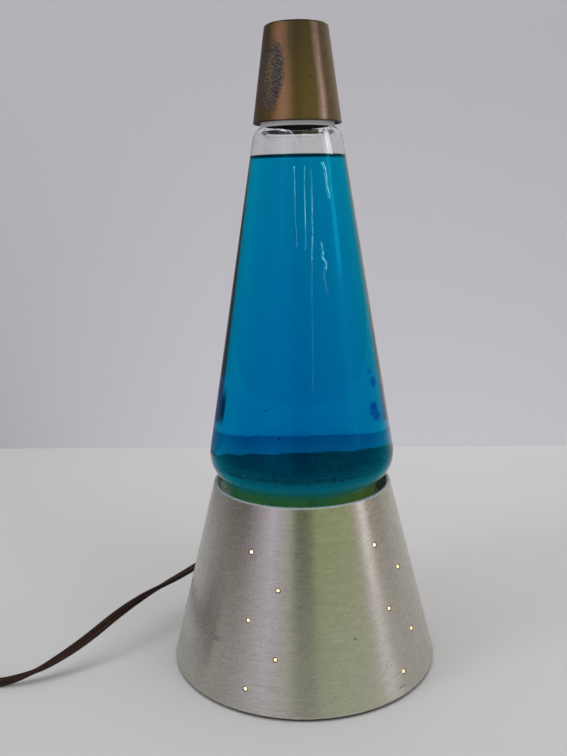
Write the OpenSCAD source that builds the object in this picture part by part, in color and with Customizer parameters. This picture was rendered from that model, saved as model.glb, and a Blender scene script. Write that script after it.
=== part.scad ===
// Liquid motion lamp: a tapered bottle of tinted liquid and wax that stands
// in a spun aluminium base over a bulb, under a loose metal cap.
// Millimetres, +Z up, origin on the axis at the underside of the felt.
// The front of the lamp faces -Y and the lead leaves at the back.

/* [Base shell] */
// Height of the base from the table to its rim
base_h = 131.8; // [120:0.2:145]
// Diameter across the foot of the base
base_foot_d = 188.4; // [176:0.2:215]
// Diameter across the rim of the base
base_rim_d = 124.8; // [122:0.2:130]
// Thickness of the spun sheet
sheet_t = 1.2; // [0.8:0.1:1.6]
// Inside radius of the rounded bottom corner
foot_corner_in_r = 0.8; // [0.4:0.1:3]
// Inside radius of the fold over the rim
rim_fold_in_r = 0.3; // [0.2:0.1:1]
// Width of the flange turned in under the shell
flange_w = 12; // [8:0.5:20]

/* [Pinholes] */
// Number of zigzag columns of pinholes
star_columns = 5; // [3:1:8]
// Number of rows of pinholes
star_rows = 5; // [2:1:5]
// Diameter of a pinhole
star_d = 2.2; // [1:0.1:3]
// Diameter of the dimple round a pinhole
star_dimple_d = 3.8; // [3.2:0.1:5]
// Height of the lowest row
star_z0 = 16.5; // [12:0.1:22]
// Height from row to row
star_step = 21.3; // [16:0.1:24]
// Side step of the zigzag, along the metal
star_side = 20; // [5:0.5:25]
// Bearing of the first column
star_bearing = -104; // [-180:1:180]

/* [Bottle seat] */
// Depth of the seat below the rim
seat_depth = 18.2; // [15:0.1:22]
// Thickness of the seat's sheet
seat_t = 0.8; // [0.6:0.1:1.2]
// Diameter of the light hole in the seat
seat_hole_d = 76; // [60:1:84]

/* [Underside] */
// Thickness of the felt
felt_t = 0.8; // [0.6:0.1:2]
// Width of the felt ring
felt_w = 14; // [8:1:20]
// Thickness of the bottom plate
plate_t = 0.8; // [0.6:0.1:1.2]
// Height of the raised middle of the bottom plate
plate_rise = 4; // [3.6:0.1:6]
// Diameter of a vent hole
vent_d = 8; // [4:0.5:10]
// Number of vent holes
vent_count = 12; // [6:1:16]

/* [Lamp holder] */
// Width of the strap that carries the holder
strap_w = 20; // [14:1:24]
// Thickness of the strap
strap_t = 1.5; // [1.2:0.1:2]
// Height of the holder
holder_h = 40; // [38:0.5:44]
// Outside diameter of the holder
holder_d = 35; // [33:0.5:38]
// Outside diameter of the threaded tube
tube_d = 9.5; // [9:0.1:10]

/* [Bulb] */
// Diameter of the bulb's glass
bulb_d = 47.6; // [44:0.2:50]
// Height of the bulb from its contact to its tip
bulb_h = 86; // [80:0.5:90]
// Wall of the bulb's glass
bulb_t = 0.8; // [0.6:0.1:1]
// Crest diameter of the bulb's screw
screw_d = 26; // [25.6:0.1:26.4]
// Pitch of the bulb's screw
screw_pitch = 3.6; // [3.4:0.1:3.8]

/* [Bottle] */
// Greatest diameter of the bottle
bottle_d = 128.6; // [122:0.2:132]
// Height of the bottle from its bottom to its lip
bottle_h = 257.2; // [230:0.2:270]
// Height of the greatest diameter above the bottom
bottle_belly_z = 38.3; // [34:0.1:44]
// Radius of the belly
belly_r = 21; // [18:0.5:24]
// Radius of the shoulder
shoulder_r = 11; // [9:0.5:13]
// Diameter of the bottom of the bottle's foot
bottle_foot_d = 99; // [92:0.5:104]
// Wall of the bottle
glass_t = 3; // [2:0.1:4]
// Diameter of the mouth
mouth_d = 43; // [38:0.5:45]
// Height of the liquid above the bottom of the bottle
fill_h = 239; // [180:1:246]
// Height of the top of the cold wax above the bottom
wax_h = 36.4; // [30:0.2:37]

/* [Heat coil] */
// Diameter of the ring of the heat coil
heat_ring_d = 66; // [50:1:74]
// Diameter of one curl
curl_d = 8; // [6:0.5:9]
// Diameter of the wire
curl_wire_d = 1.2; // [0.8:0.1:1.6]
// Number of curls
curls = 30; // [20:1:36]

/* [Closure] */
// Outside diameter of the white closure
closure_d = 48.6; // [46:0.2:49]
// Wall of the closure
closure_t = 1.6; // [1.2:0.1:2.2]
// Depth of the stopper below the lip
stopper_drop = 2.4; // [2:0.1:8]

/* [Top cap] */
// Height of the cap
cap_h = 60.5; // [50:0.5:70]
// Diameter of the cap's open end
cap_low_d = 58; // [55:0.5:60]
// Diameter of the cap's closed end
cap_top_d = 41.6; // [34:0.2:46]
// Thickness of the cap's sheet
cap_t = 1; // [0.7:0.1:1.4]
// Height of the cap's open end above the bottle's lip
cap_clear = 2.5; // [2:0.1:6]

/* [Lead] */
// Width of the flat twin lead
lead_w = 5.4; // [5:0.1:5.8]
// Thickness of the flat twin lead
lead_t = 2.7; // [2.5:0.1:2.9]
// Height of the lead hole up the back of the shell
lead_hole_z = 28; // [24:0.5:32]
// Length of the strain relief outside the shell
relief_len = 17; // [14:0.5:20]
// Turns in the put-away coil, in two layers
coil_turns = 6; // [4:2:8]
// Centreline radius of the innermost turn
coil_in_r = 25.5; // [24:0.5:28]
// Step from turn to turn
coil_step = 3.5; // [3.3:0.1:4]

/* [Lead switch and plug] */
// Length of the switch body
switch_len = 60; // [56:1:66]
// Width of the switch body
switch_w = 24; // [22:0.5:26]
// Height of the switch body
switch_h = 14; // [13:0.5:16]
// Diameter of the thumb wheel
wheel_d = 27; // [25.5:0.5:29]
// Thickness of the thumb wheel
wheel_t = 5; // [4:0.5:6]
// Width of the plug body
plug_w = 24; // [22:0.5:26]
// Height of the plug body
plug_h = 14; // [12:0.5:16]

/* [Hidden] */
$fn = 96;
rest_gap = 0.3;
run_gap = 0.2;
fit_gap = 0.1;

// Base shell: the wall is the line that touches the corner circle and the fold circle
foot_corner_r = foot_corner_in_r + sheet_t;
rim_fold_r = rim_fold_in_r + sheet_t;
flange_z = felt_t;
plate_z = flange_z + sheet_t;
corner_c = [base_foot_d / 2 - foot_corner_r, flange_z + foot_corner_r];
fold_c = [base_rim_d / 2 - rim_fold_r, base_h - rim_fold_r];
wall_a = tangent_angle(corner_c, foot_corner_r, fold_c, rim_fold_r);
hem_len = 5;
flange_in_r = base_foot_d / 2 - flange_w;

// Bottle seat: its collar stands between the wall and the hem of the shell
seat_top_z = base_h - seat_depth;
collar_r = fold_c[0] - rim_fold_r + sheet_t + fit_gap + seat_t;
collar_top_z = base_h - rim_fold_r - 2;
seat_corner_r = 2.5;
seat_bend_r = 0.7;
seat_bend_c = [seat_hole_d / 2 + seat_t + seat_bend_r, seat_top_z - seat_t - seat_bend_r];
seat_lip = 4;

// Lamp holder stack, from the bottom plate up
boss_r = 20;
boss_foot_r = 25;
boss_z = plate_z + plate_rise;
strap_z = boss_z + plate_t;
holder_z = strap_z + strap_t;
nut_h = 2.6;
nut_af = 14;
tube_wall = 1.3;
tube_grip = 4.6;
floor_z = holder_z + 8;
cavity_r = screw_d / 2 + 1.4;
contact_t = 1.2;

// Bulb: stands on the holder's contact
bulb_z = floor_z + contact_t + run_gap;
bulb_r = bulb_d / 2;
bulb_c = [0, bulb_z + bulb_h - bulb_r];
bulb_neck_r = screw_d / 2 - 1.4;
bulb_fillet = 28;
neck_c = [bulb_neck_r + bulb_fillet,
    bulb_c[1] - sqrt(pow(bulb_r + bulb_fillet, 2) - pow(bulb_neck_r + bulb_fillet, 2))];
neck_a = atan2(bulb_c[1] - neck_c[1], -neck_c[0]);
screw_z0 = bulb_z + 4.2;
screw_z1 = bulb_z + 25.8;
thread_depth = 0.8;
thread_steps = 6;
shell_t = 0.4;

// Bottle: the wall is the line that touches the belly circle and the shoulder circle
bottle_z = seat_top_z + rest_gap;
lip_z = bottle_z + bottle_h;
belly_c = [bottle_d / 2 - belly_r, bottle_z + bottle_belly_z];
shoulder_c = [18.8, lip_z - 9.2];
glass_a = tangent_angle(belly_c, belly_r, shoulder_c, shoulder_r);
belly_low_a = -55;
shoulder_top_a = 54;
heel_r = 4;
waist_r = 3;
punt_r = 40;
punt_h = 2.5;
bore_r = mouth_d / 2;
fill_z = bottle_z + fill_h;
wax_z = bottle_z + wax_h;
content_gap = 0.15;

// Closure and cap: the cap's tapered wall rests on the closure's upper edge
cap_z = lip_z + cap_clear;
cap_top_z = cap_z + cap_h;
cap_edge_r = 2;
cap_a = tangent_angle([cap_low_d / 2, cap_z], 0, [cap_top_d / 2 - cap_edge_r, cap_top_z - cap_edge_r],
    cap_edge_r);
closure_top_z = cap_z + (cap_low_d / 2 - cap_t / cos(cap_a) - closure_d / 2 - rest_gap) / tan(cap_a);
closure_top_t = 2;

// Lead: the hole looks square out of the back of the shell
hole_dir = [0, cos(wall_a), sin(wall_a)];
hole_pos = [0, shell_r(lead_hole_z), lead_hole_z];
relief_in = 9;
relief_end = hole_pos + hole_dir * relief_len;
relief_start = hole_pos - hole_dir * relief_in;
// Free stretch from the strain relief to the switch, with the turn of its width at each point
run_points = [
    [0, 110, 33.5, 0], [-1.5, 117, 35, 0], [-6, 124, 36.5, 0], [-13.5, 129.5, 37.5, 10],
    [-22.5, 131, 38, 20], [-31, 129, 38.5, 35], [-38.5, 124, 38.5, 50], [-44.5, 116, 38.5, 65],
    [-51, 107, 38.5, 80], [-59, 96, 38.5, 90], [-67, 85, 38, 90], [-75, 74, 38, 90],
    [-83, 63, 38, 100], [-91, 51.5, 37.5, 85], [-99.5, 40, 37, 62], [-109, 29, 36, 37],
    [-119, 18, 34.5, 10], [-129, 7, 32, -20], [-139, -4, 28.5, -40], [-149, -15, 24, -50],
    [-160, -25, 19, -58], [-172, -33.5, 14, -70], [-184, -40, 9.5, -85], [-196, -44, 6.2, -75],
    [-206, -46.4, 4.2, -60], [-215, -47.6, 3.4, -50], [-223, -48, 3.6, -30], [-230, -48, 5, -10]
];
switch_x = -266;
switch_y = -48;
split_z = 6.5;
run_end = [switch_x + switch_len / 2, switch_y, split_z];
// Stretch from the switch to the coil
link_start = [switch_x - switch_len / 2, switch_y, split_z];
link_points = [
    [-302, -48, 6.2, 0], [-308, -47.3, 5.2, 15], [-314, -44.8, 4.2, 30], [-319.8, -41, 3.6, 45],
    [-324.4, -36, 3.3, 60], [-327.2, -30, 3.2, 75], [-328, -23.5, 3.2, 90], [-328, -15, 3.2, 90],
    [-328, -6, 3.2, 90]
];
coil_c = [-292, 8];
coil_lift = 0.5;
layer_gap = 0.45;
coil_out_r = coil_in_r + coil_step * coil_turns / 2;
coil_x = coil_c[0] - coil_out_r;
coil_low_z = coil_lift + lead_w / 2;
coil_high_z = coil_low_z + lead_w + layer_gap;
turn_rings = 24;
// Stretch from the coil to the plug
tail_points = [
    [-328, 22, 8.6, 90], [-328, 31, 7.4, 75], [-328, 40, 6.3, 55], [-328, 49, 5.8, 30],
    [-328, 58, 6.2, 10]
];
plug_y = 66;
plug_neck = 10;
plug_len = 24;

function tangent_angle(c0, r0, c1, r1) =
    let (d = c0 - c1) acos((r1 - r0) / norm(d)) + atan2(d[1], d[0]);
function arc(c, r, a0, a1, n = 6) =
    [for (i = [0:n]) let (a = a0 + (a1 - a0) * i / n) [c[0] + r * cos(a), c[1] + r * sin(a)]];
function flip(list) = [for (i = [len(list) - 1:-1:0]) list[i]];
function on_wall(c, r, a, z) = c[0] + (r - (z - c[1]) * sin(a)) / cos(a);
function shell_r(z) = on_wall(corner_c, foot_corner_r, wall_a, z);

// One face of the shell's sheet, d inside its outer face, from the flange to the hem
function shell_face(d) = concat(
    [[flange_in_r, flange_z + d]],
    arc(corner_c, foot_corner_r - d, -90, wall_a),
    arc(fold_c, rim_fold_r - d, wall_a, 180, 8),
    [[fold_c[0] - rim_fold_r + d, fold_c[1] - hem_len]]);

// One face of the seat's sheet, from the top of the collar to the lip of the light hole
function seat_face(d) = concat(
    [[collar_r - d, collar_top_z]],
    arc([collar_r - seat_corner_r, seat_top_z - seat_t + seat_corner_r], seat_corner_r - d, 0, -90, 4),
    arc(seat_bend_c, seat_bend_r + d, 90, 180, 4),
    [[seat_hole_d / 2 + seat_t - d, seat_bend_c[1] - seat_lip]]);

// One face of the bottle, d inside its outer face, from the heel to the lip
foot_low = [bottle_foot_d / 2 - heel_r, bottle_z + heel_r];
belly_low = arc(belly_c, belly_r + waist_r, belly_low_a, belly_low_a, 1)[0];
foot_a = tangent_angle(foot_low, heel_r, belly_low, -waist_r);
function bottle_face(d) = concat(
    arc(foot_low, heel_r - d, -90, foot_a, 4),
    arc(belly_low, -(waist_r + d), foot_a, belly_low_a, 4),
    arc(belly_c, belly_r - d, belly_low_a, glass_a, 10),
    arc(shoulder_c, shoulder_r - d, glass_a, shoulder_top_a, 8));
function bottom_face(d) = [[0, bottle_z + punt_h + d], [punt_r - punt_h - 4, bottle_z + punt_h + d],
    [punt_r, bottle_z + d]];

module bottle_skin(d) {
    rotate_extrude()
        polygon(concat(bottom_face(d), bottle_face(d), [[shoulder_c[0], lip_z], [0, lip_z]]));
}

module ring(r0, r1, h) {
    difference() {
        cylinder(r = r1, h = h);
        translate([0, 0, -1]) cylinder(r = r0, h = h + 2);
    }
}

// Turns a shape that stands on +Z so that it looks square out of the shell at a bearing and height
module on_shell(bearing, z) {
    rotate([0, 0, bearing]) translate([shell_r(z), 0, z]) rotate([0, 90 - wall_a, 0]) children();
}

// Swept flat lead: a ring of section points at each route point, width turned about the route
section8 = [[1, 0.4], [0.5, 1], [-0.5, 1], [-1, 0.4], [-1, -0.4], [-0.5, -1], [0.5, -1], [1, -0.4]];
section6 = [[1, 0.5], [0, 1], [-1, 0.5], [-1, -0.5], [0, -1], [1, -0.5]];
round6 = [for (i = [0:5]) [cos(60 * i), sin(60 * i)]];
function unit(v) = v / norm(v);
function xyz(p) = [p[0], p[1], p[2]];
function frame_ring(p, dir, turn, section, w, t) =
    let (side = unit(cross([0, 0, 1], dir)))
    let (up = cross(dir, side))
    let (wide = side * cos(turn) + up * sin(turn))
    let (thin = up * cos(turn) - side * sin(turn))
    [for (s = section) p + wide * s[0] * w / 2 + thin * s[1] * t / 2];
function route_dir(points, i, first, last) =
    i == 0 ? first : i == len(points) - 1 ? last : unit(xyz(points[i + 1]) - xyz(points[i - 1]));
function route_rings(points, first, last, section, w, t) =
    [for (i = [0:len(points) - 1])
        frame_ring(xyz(points[i]), route_dir(points, i, first, last), points[i][3], section, w, t)];

// Skin over rings of points: flat fans close the ends, or the last ring joins the first
module skin(rings, closed = false) {
    n = len(rings[0]);
    m = len(rings);
    last = closed ? m - 1 : m - 2;
    sides = [for (i = [0:last], j = [0:n - 1])
        let (a = i * n, b = ((i + 1) % m) * n, k = (j + 1) % n)
        each [[a + j, b + j, b + k], [a + j, b + k, a + k]]];
    caps = closed ? [] : concat(
        [for (j = [1:n - 2]) [0, j, j + 1]],
        [for (j = [1:n - 2]) [(m - 1) * n, (m - 1) * n + j + 1, (m - 1) * n + j]]);
    polyhedron(points = [for (r = rings) each r], faces = concat(sides, caps));
}

module base_shell() {
    color([0.70, 0.69, 0.68])
    difference() {
        rotate_extrude() polygon(concat(shell_face(0), flip(shell_face(sheet_t))));
        for (c = [0:star_columns - 1], k = [0:star_rows - 1])
            let (z = star_z0 + k * star_step)
            let (side = k % 2 == 0 ? star_side / shell_r(z) * 180 / PI : 0)
            on_shell(star_bearing + c * 360 / star_columns - side, z) pinhole();
        on_shell(90, lead_hole_z) translate([0, 0, -5])
            cylinder(r = relief_neck_r + fit_gap, h = 10, $fn = 48);
    }
}

// Pinhole with its dimple, on the outer face of the sheet
module pinhole() {
    dimple = 0.45;
    translate([0, 0, -4]) cylinder(d = star_d, h = 8, $fn = 24);
    translate([0, 0, -dimple])
        cylinder(d1 = star_d, d2 = 2 * star_dimple_d - star_d, h = 2 * dimple, $fn = 24);
}

module seat_ring() {
    color([0.62, 0.62, 0.62])
    rotate_extrude() polygon(concat(seat_face(0), flip(seat_face(seat_t))));
}

module felt_ring() {
    color([0.07, 0.07, 0.07])
    ring(base_foot_d / 2 - 2 - felt_w, base_foot_d / 2 - 2, felt_t);
}

// Pressed plate inside the shell's flange, raised in the middle to house the nut, with a ring of vents
module bottom_plate() {
    rim_r = corner_c[0] - 0.5;
    vent_r = (boss_foot_r + flange_in_r) / 2;
    color([0.10, 0.10, 0.10])
    difference() {
        rotate_extrude()
            polygon([[tube_d / 2 + fit_gap, boss_z], [boss_r, boss_z], [boss_foot_r, plate_z],
                [rim_r, plate_z], [rim_r, plate_z + plate_t], [boss_foot_r + 0.3, plate_z + plate_t],
                [boss_r + 0.3, boss_z + plate_t], [tube_d / 2 + fit_gap, boss_z + plate_t]]);
        for (i = [0:vent_count - 1])
            rotate([0, 0, (i + 0.5) * 360 / vent_count]) translate([vent_r, 0, 0])
                cylinder(d = vent_d, h = 4 * (plate_z + plate_t), center = true, $fn = 32);
    }
}

// Hat-shaped strap: its feet lie on the plate over the shell's flange, its middle on the boss
module socket_strap() {
    foot_z = plate_z + plate_t;
    reach = flange_in_r + flange_w / 2;
    flat = boss_r + 1.5;
    down = boss_foot_r + 8;
    color([0.55, 0.55, 0.53])
    difference() {
        rotate([90, 0, 0]) linear_extrude(strap_w, center = true)
            polygon([[-reach, foot_z], [-down, foot_z], [-flat, strap_z], [flat, strap_z], [down, foot_z],
                [reach, foot_z], [reach, foot_z + strap_t], [down - 0.4, foot_z + strap_t],
                [flat - 0.2, strap_z + strap_t], [-flat + 0.2, strap_z + strap_t],
                [-down + 0.4, foot_z + strap_t], [-reach, foot_z + strap_t]]);
        cylinder(d = tube_d + 2 * fit_gap, h = 3 * holder_z, center = true, $fn = 48);
    }
}

module threaded_tube() {
    color([0.75, 0.68, 0.45])
    translate([0, 0, boss_z - nut_h - 0.6])
        ring(tube_d / 2 - tube_wall, tube_d / 2, nut_h + 0.6 + plate_t + strap_t + tube_grip - fit_gap);
}

module lock_nut() {
    color([0.75, 0.68, 0.45])
    translate([0, 0, boss_z - nut_h])
    difference() {
        cylinder(d = nut_af / cos(30), h = nut_h, $fn = 6);
        translate([0, 0, -1]) cylinder(d = tube_d + fit_gap, h = nut_h + 2, $fn = 48);
    }
}

// Moulded lamp holder with a flat on each side for its terminals
terminal_z = floor_z + 9;
pad_x = holder_d / 2 + 0.2;
module socket_body() {
    top = holder_z + holder_h;
    r = holder_d / 2;
    color([0.09, 0.08, 0.08])
    difference() {
        union() {
            rotate_extrude()
                polygon([[0, holder_z], [r - 4.5, holder_z], [r - 2.5, holder_z + 2], [r - 2.5, holder_z + 6],
                    [r, holder_z + 9], [r, top - 3.5], [r + 1, top - 2.5], [r + 1, top], [0, top]]);
            translate([-pad_x, -4.5, terminal_z - 5.5]) cube([2 * pad_x, 9, 11]);
        }
        translate([0, 0, floor_z]) cylinder(r = cavity_r, h = holder_h);
        translate([0, 0, holder_z - 1]) cylinder(d = tube_d + fit_gap, h = tube_grip + 1, $fn = 48);
    }
}

// Rounded screw thread as rings: radius at each of the steps between two heights
function thread(r, z0, z1) =
    let (n = round((z1 - z0) / screw_pitch * thread_steps))
    [for (i = [0:n]) let (z = z0 + (z1 - z0) * i / n)
        [r - thread_depth / 2 + thread_depth / 2 * cos(360 * (z - screw_z0) / screw_pitch), z]];

module sleeve(r, z0, z1, t) {
    rotate_extrude() polygon(concat(thread(r, z0, z1), flip(thread(r - t, z0, z1))));
}

module socket_screw_shell() {
    color([0.80, 0.62, 0.30])
    sleeve(screw_d / 2 + shell_t + run_gap, floor_z, screw_z1 + 1, shell_t);
}

module socket_contact() {
    color([0.80, 0.62, 0.30])
    translate([0, 0, floor_z]) cylinder(r = 4, h = contact_t, $fn = 48);
}

// Terminal posts with their screws, one on each flat of the holder
post = [3.4, 8, 7];
module terminals() {
    color([0.80, 0.62, 0.30])
    for (side = [-1, 1])
        scale([side, 1, 1]) union() {
            translate([pad_x, -post[1] / 2, terminal_z - post[2] / 2]) cube(post);
            translate([pad_x + post[0] - 1, 0, terminal_z]) rotate([0, 90, 0])
                cylinder(r = 2.8, h = 2.6, $fn = 32);
        }
}

// Snap-in strain relief: barb inside the wall, flange outside, and a ribbed taper
relief_neck_r = 5;
module strain_relief() {
    flange_r = 7.5;
    rib = 2.4;
    ribs = floor((relief_len - 5) / rib);
    taper = 0.35;
    color([0.20, 0.10, 0.06])
    on_shell(90, lead_hole_z) rotate_extrude()
        polygon(concat(
            [[0, -relief_in], [relief_neck_r - 1, -relief_in], [relief_neck_r + 1, -sheet_t - 1.4],
                [relief_neck_r + 1, -sheet_t - 0.5], [relief_neck_r, -sheet_t - 0.5], [relief_neck_r, 0.15],
                [flange_r, 0.15], [flange_r, 1.6], [flange_r - 0.6, 2.2]],
            [for (i = [0:ribs - 1]) each let (z = 2.2 + i * rib, r = relief_neck_r + 0.8 - i * taper)
                [[r, z], [r - taper * 0.6, z + rib * 0.6], [r - 0.9, z + rib * 0.6], [r - 0.9, z + rib]]],
            [[4, relief_len - 1], [4, relief_len], [0, relief_len]]));
}

// Lead inside the base: flat twin to behind the holder, then one core to each terminal
split_at = [0, 30, 20];
inner_points = [
    [0, 72, 23.6, 0], [0, 64, 20.2, 0], [0, 56, 17, 0], [0, 48, 15.2, 0], [0, 40, 15.6, 0], [0, 34.5, 17.4, 0]
];
core_points = [
    [4.5, 26.5, 22, 0], [9, 23.5, 23.8, 0], [13.5, 19.5, 24.8, 0], [17, 14.5, 25.2, 0], [19, 9.5, 25.4, 0]
];
module inner_lead() {
    in_dir = -hole_dir;
    split_dir = unit([0, -4.5, 3]);
    start = [relief_start[0], relief_start[1], relief_start[2], 0];
    core = lead_t - 0.1;
    end = [pad_x + post[0] / 2, post[1] / 2, terminal_z, 0];
    color([0.22, 0.11, 0.07])
    union() {
        skin(route_rings(concat([start], inner_points, [[split_at[0], split_at[1], split_at[2], 0]]),
            in_dir, split_dir, section8, lead_w, lead_t));
        for (side = [-1, 1])
            scale([side, 1, 1]) skin(route_rings(
                concat([[lead_t / 2 + 0.1, split_at[1], split_at[2], 0]], core_points, [end]),
                split_dir, [0, -1, 0], round6, core, core));
    }
}

module cord_run() {
    color([0.22, 0.11, 0.07])
    skin(route_rings(concat([[relief_end[0], relief_end[1], relief_end[2], 0]], run_points,
        [[run_end[0], run_end[1], run_end[2], 0]]), hole_dir, [-1, 0, 0], section8, lead_w, lead_t));
}

module cord_link() {
    color([0.22, 0.11, 0.07])
    skin(route_rings(concat([[link_start[0], link_start[1], link_start[2], 0]], link_points,
        [[coil_x, coil_c[1] - lead_w, coil_low_z, 90]]), [-1, 0, 0], [0, 1, 0], section8, lead_w, lead_t));
}

module cord_tail() {
    color([0.22, 0.11, 0.07])
    skin(route_rings(concat([[coil_x, coil_c[1] + lead_w, coil_high_z, 90]], tail_points,
        [[coil_x, plug_y, plug_h / 2, 0]]), [0, 1, 0], [0, 1, 0], section8, lead_w, lead_t));
}

// Coil on edge: spirals in along the lower layer, climbs over the middle half turn, spirals out
function coil_rise(q) = max(0, min(1, (q + 90) / 180));
function coil_ring(turned) =
    let (q = turned - coil_turns * 180)
    let (r = coil_in_r + coil_step * abs(q) / 360)
    let (z = coil_low_z + (coil_high_z - coil_low_z) * coil_rise(q))
    let (out = [-cos(turned), sin(turned), 0])
    [for (s = section6)
        [coil_c[0], coil_c[1], z] + out * (r - s[1] * lead_t / 2) + [0, 0, s[0] * lead_w / 2]];
function coil_end(y, z) =
    [for (s = section6) [coil_x + s[1] * lead_t / 2, y, z + s[0] * lead_w / 2]];
coil_rings = concat(
    [coil_end(coil_c[1] - lead_w, coil_low_z)],
    [for (i = [0:coil_turns * turn_rings]) coil_ring(i * 360 / turn_rings)],
    [coil_end(coil_c[1] + lead_w, coil_high_z)]);
function least_gap(rings, apart, turns) =
    min([for (i = [0:len(rings) - 1], k = [1:turns], e = [-1:1])
        let (j = i + k * apart + e) if (j < len(rings)) each
            [for (p = rings[i], q = rings[j]) norm(p - q)]]);
module cord_coil() {
    echo(least_gap_in_the_lead_coil = least_gap(coil_rings, turn_rings, coil_turns));
    color([0.22, 0.11, 0.07]) skin(coil_rings);
}

// Two bands round the coil's bundle, at its front and its back
module coil_ties() {
    in_r = coil_in_r - lead_t / 2 - 0.6;
    out_r = coil_out_r + lead_t / 2 + 0.6;
    top = coil_high_z + lead_w / 2 + 0.4;
    band = 0.45;
    wide = 6;
    color([0.12, 0.12, 0.12])
    for (bearing = [90, 270])
        translate([coil_c[0], coil_c[1], 0]) rotate([0, 0, bearing]) difference() {
            translate([in_r - band, -wide / 2, 0]) cube([out_r - in_r + 2 * band, wide, top + band]);
            translate([in_r, -wide, band]) cube([out_r - in_r, 2 * wide, top - band]);
        }
}

// Chamfered long body with round ends, standing on its base
module long_body(len, w, h, chamfer) {
    half = (len - w) / 2;
    for (x = [-half, half])
        translate([x, 0, 0]) {
            cylinder(d = w, h = h - chamfer);
            translate([0, 0, h - chamfer]) cylinder(d1 = w, d2 = w - 2 * chamfer, h = chamfer);
        }
    translate([-half, 0, 0]) rotate([90, 0, 90]) linear_extrude(2 * half)
        polygon([[-w / 2, 0], [w / 2, 0], [w / 2, h - chamfer], [w / 2 - chamfer, h],
            [-w / 2 + chamfer, h], [-w / 2, h - chamfer]]);
}

// Half of the lead switch, standing on its split face, with a flat nose at each end for the lead
nose_w = 10;
nose_len = 5;
wheel_low = (wheel_t - 1) / 2;
pin_r = 2.4;
module switch_half(h, depth) {
    difference() {
        union() {
            long_body(switch_len - 2 * nose_len, switch_w, h, 1.6);
            translate([-switch_len / 2, -nose_w / 2, 0]) cube([switch_len, nose_w, min(h, 5)]);
        }
        translate([0, 0, -1]) cylinder(d = wheel_d + 1.2, h = depth + run_gap + 1);
    }
}
screw_x = 18;
screw_r = 1.4;
screw_head_r = 2.7;
module switch_lower() {
    color([0.20, 0.10, 0.06])
    translate([switch_x, switch_y, split_z]) difference() {
        union() {
            mirror([0, 0, 1]) switch_half(split_z, wheel_low);
            translate([0, 0, -split_z + 1])
                cylinder(r = pin_r, h = split_z - 1 + wheel_t - wheel_low, $fn = 48);
        }
        for (x = [-screw_x, screw_x])
            translate([x, 0, -split_z - 1]) {
                cylinder(r = screw_r + fit_gap, h = split_z + 2, $fn = 32);
                cylinder(r = screw_head_r + fit_gap, h = 3, $fn = 32);
            }
    }
}

module switch_upper() {
    color([0.20, 0.10, 0.06])
    translate([switch_x, switch_y, split_z]) difference() {
        switch_half(switch_h - split_z, wheel_t - wheel_low);
        for (x = [-screw_x, screw_x])
            translate([x, 0, -1]) cylinder(r = screw_r + fit_gap, h = 5, $fn = 32);
    }
}

// Thumb wheel with a notched edge, on the pin of the lower half
module switch_wheel() {
    notches = 24;
    color([0.16, 0.08, 0.05])
    translate([switch_x, switch_y, split_z - wheel_low]) difference() {
        cylinder(d = wheel_d, h = wheel_t);
        translate([0, 0, -1]) cylinder(r = pin_r + 0.05, h = wheel_t + 2, $fn = 48);
        for (i = [0:notches - 1])
            rotate([0, 0, i * 360 / notches])
                translate([wheel_d / 2 + 0.3, 0, -1]) cylinder(r = 0.9, h = wheel_t + 2, $fn = 16);
    }
}

module switch_screws() {
    color([0.78, 0.70, 0.50])
    for (x = [-screw_x, screw_x])
        translate([switch_x + x, switch_y, 0.3]) {
            cylinder(r = screw_head_r, h = 1.6, $fn = 32);
            translate([0, 0, 1.6]) cylinder(r = screw_r, h = split_z + 1.8, $fn = 32);
        }
}

// Flat moulded plug: taper over the lead, then a body waisted for the fingers
module plug_body() {
    y0 = plug_y + plug_neck;
    half = plug_w / 2;
    color([0.20, 0.10, 0.06])
    translate([coil_x, 0, 0]) union() {
        translate([0, plug_y, plug_h / 2]) rotate([-90, 0, 0])
            cylinder(r1 = 4.2, r2 = 6, h = plug_neck + 1, $fn = 48);
        linear_extrude(plug_h)
            polygon([[-7, y0], [7, y0], [half, y0 + 5], [half - 1.5, y0 + 12], [half, y0 + 19],
                [half, y0 + plug_len], [-half, y0 + plug_len], [-half, y0 + 19], [-half + 1.5, y0 + 12],
                [-half, y0 + 5]]);
    }
}

// Two flat blades, each with its hole
module plug_blades() {
    blade = [1.5, 16, 6.3];
    apart = 12.7;
    color([0.78, 0.66, 0.40])
    for (side = [-1, 1])
        translate([coil_x + side * apart / 2, plug_y + plug_neck + plug_len, plug_h / 2]) difference() {
            translate([-blade[0] / 2, 0, -blade[2] / 2]) cube(blade);
            translate([0, blade[1] - 4.5, 0]) rotate([0, 90, 0])
                cylinder(d = 3, h = 4, center = true, $fn = 24);
        }
}

// Bulb glass: round head and a neck that goes down into its screw shell
function bulb_face(d) = concat(
    [[bulb_neck_r - d, screw_z0 + 9]],
    arc(neck_c, -(bulb_fillet + d), 0, neck_a - 180),
    arc(bulb_c, bulb_r - d, neck_a - 180, 90, 14));
module bulb_glass() {
    color([0.95, 0.93, 0.85])
    rotate_extrude() polygon(concat(bulb_face(0), flip(bulb_face(bulb_t))));
}

module bulb_screw_shell() {
    color([0.80, 0.80, 0.80])
    sleeve(screw_d / 2, screw_z0, screw_z1, shell_t);
}

module bulb_insulator() {
    color([0.08, 0.08, 0.09])
    rotate_extrude()
        polygon([[0, bulb_z + 1.2], [4.6, bulb_z + 1.2], [screw_d / 2 - 1.4, screw_z0 - run_gap],
            [screw_d / 2 - 1.4, screw_z0 + 1], [0, screw_z0 + 1]]);
}

module bulb_contact() {
    color([0.70, 0.70, 0.68])
    translate([0, 0, bulb_z]) cylinder(r1 = 3.6, r2 = 4.6, h = 1.2, $fn = 48);
}

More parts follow.
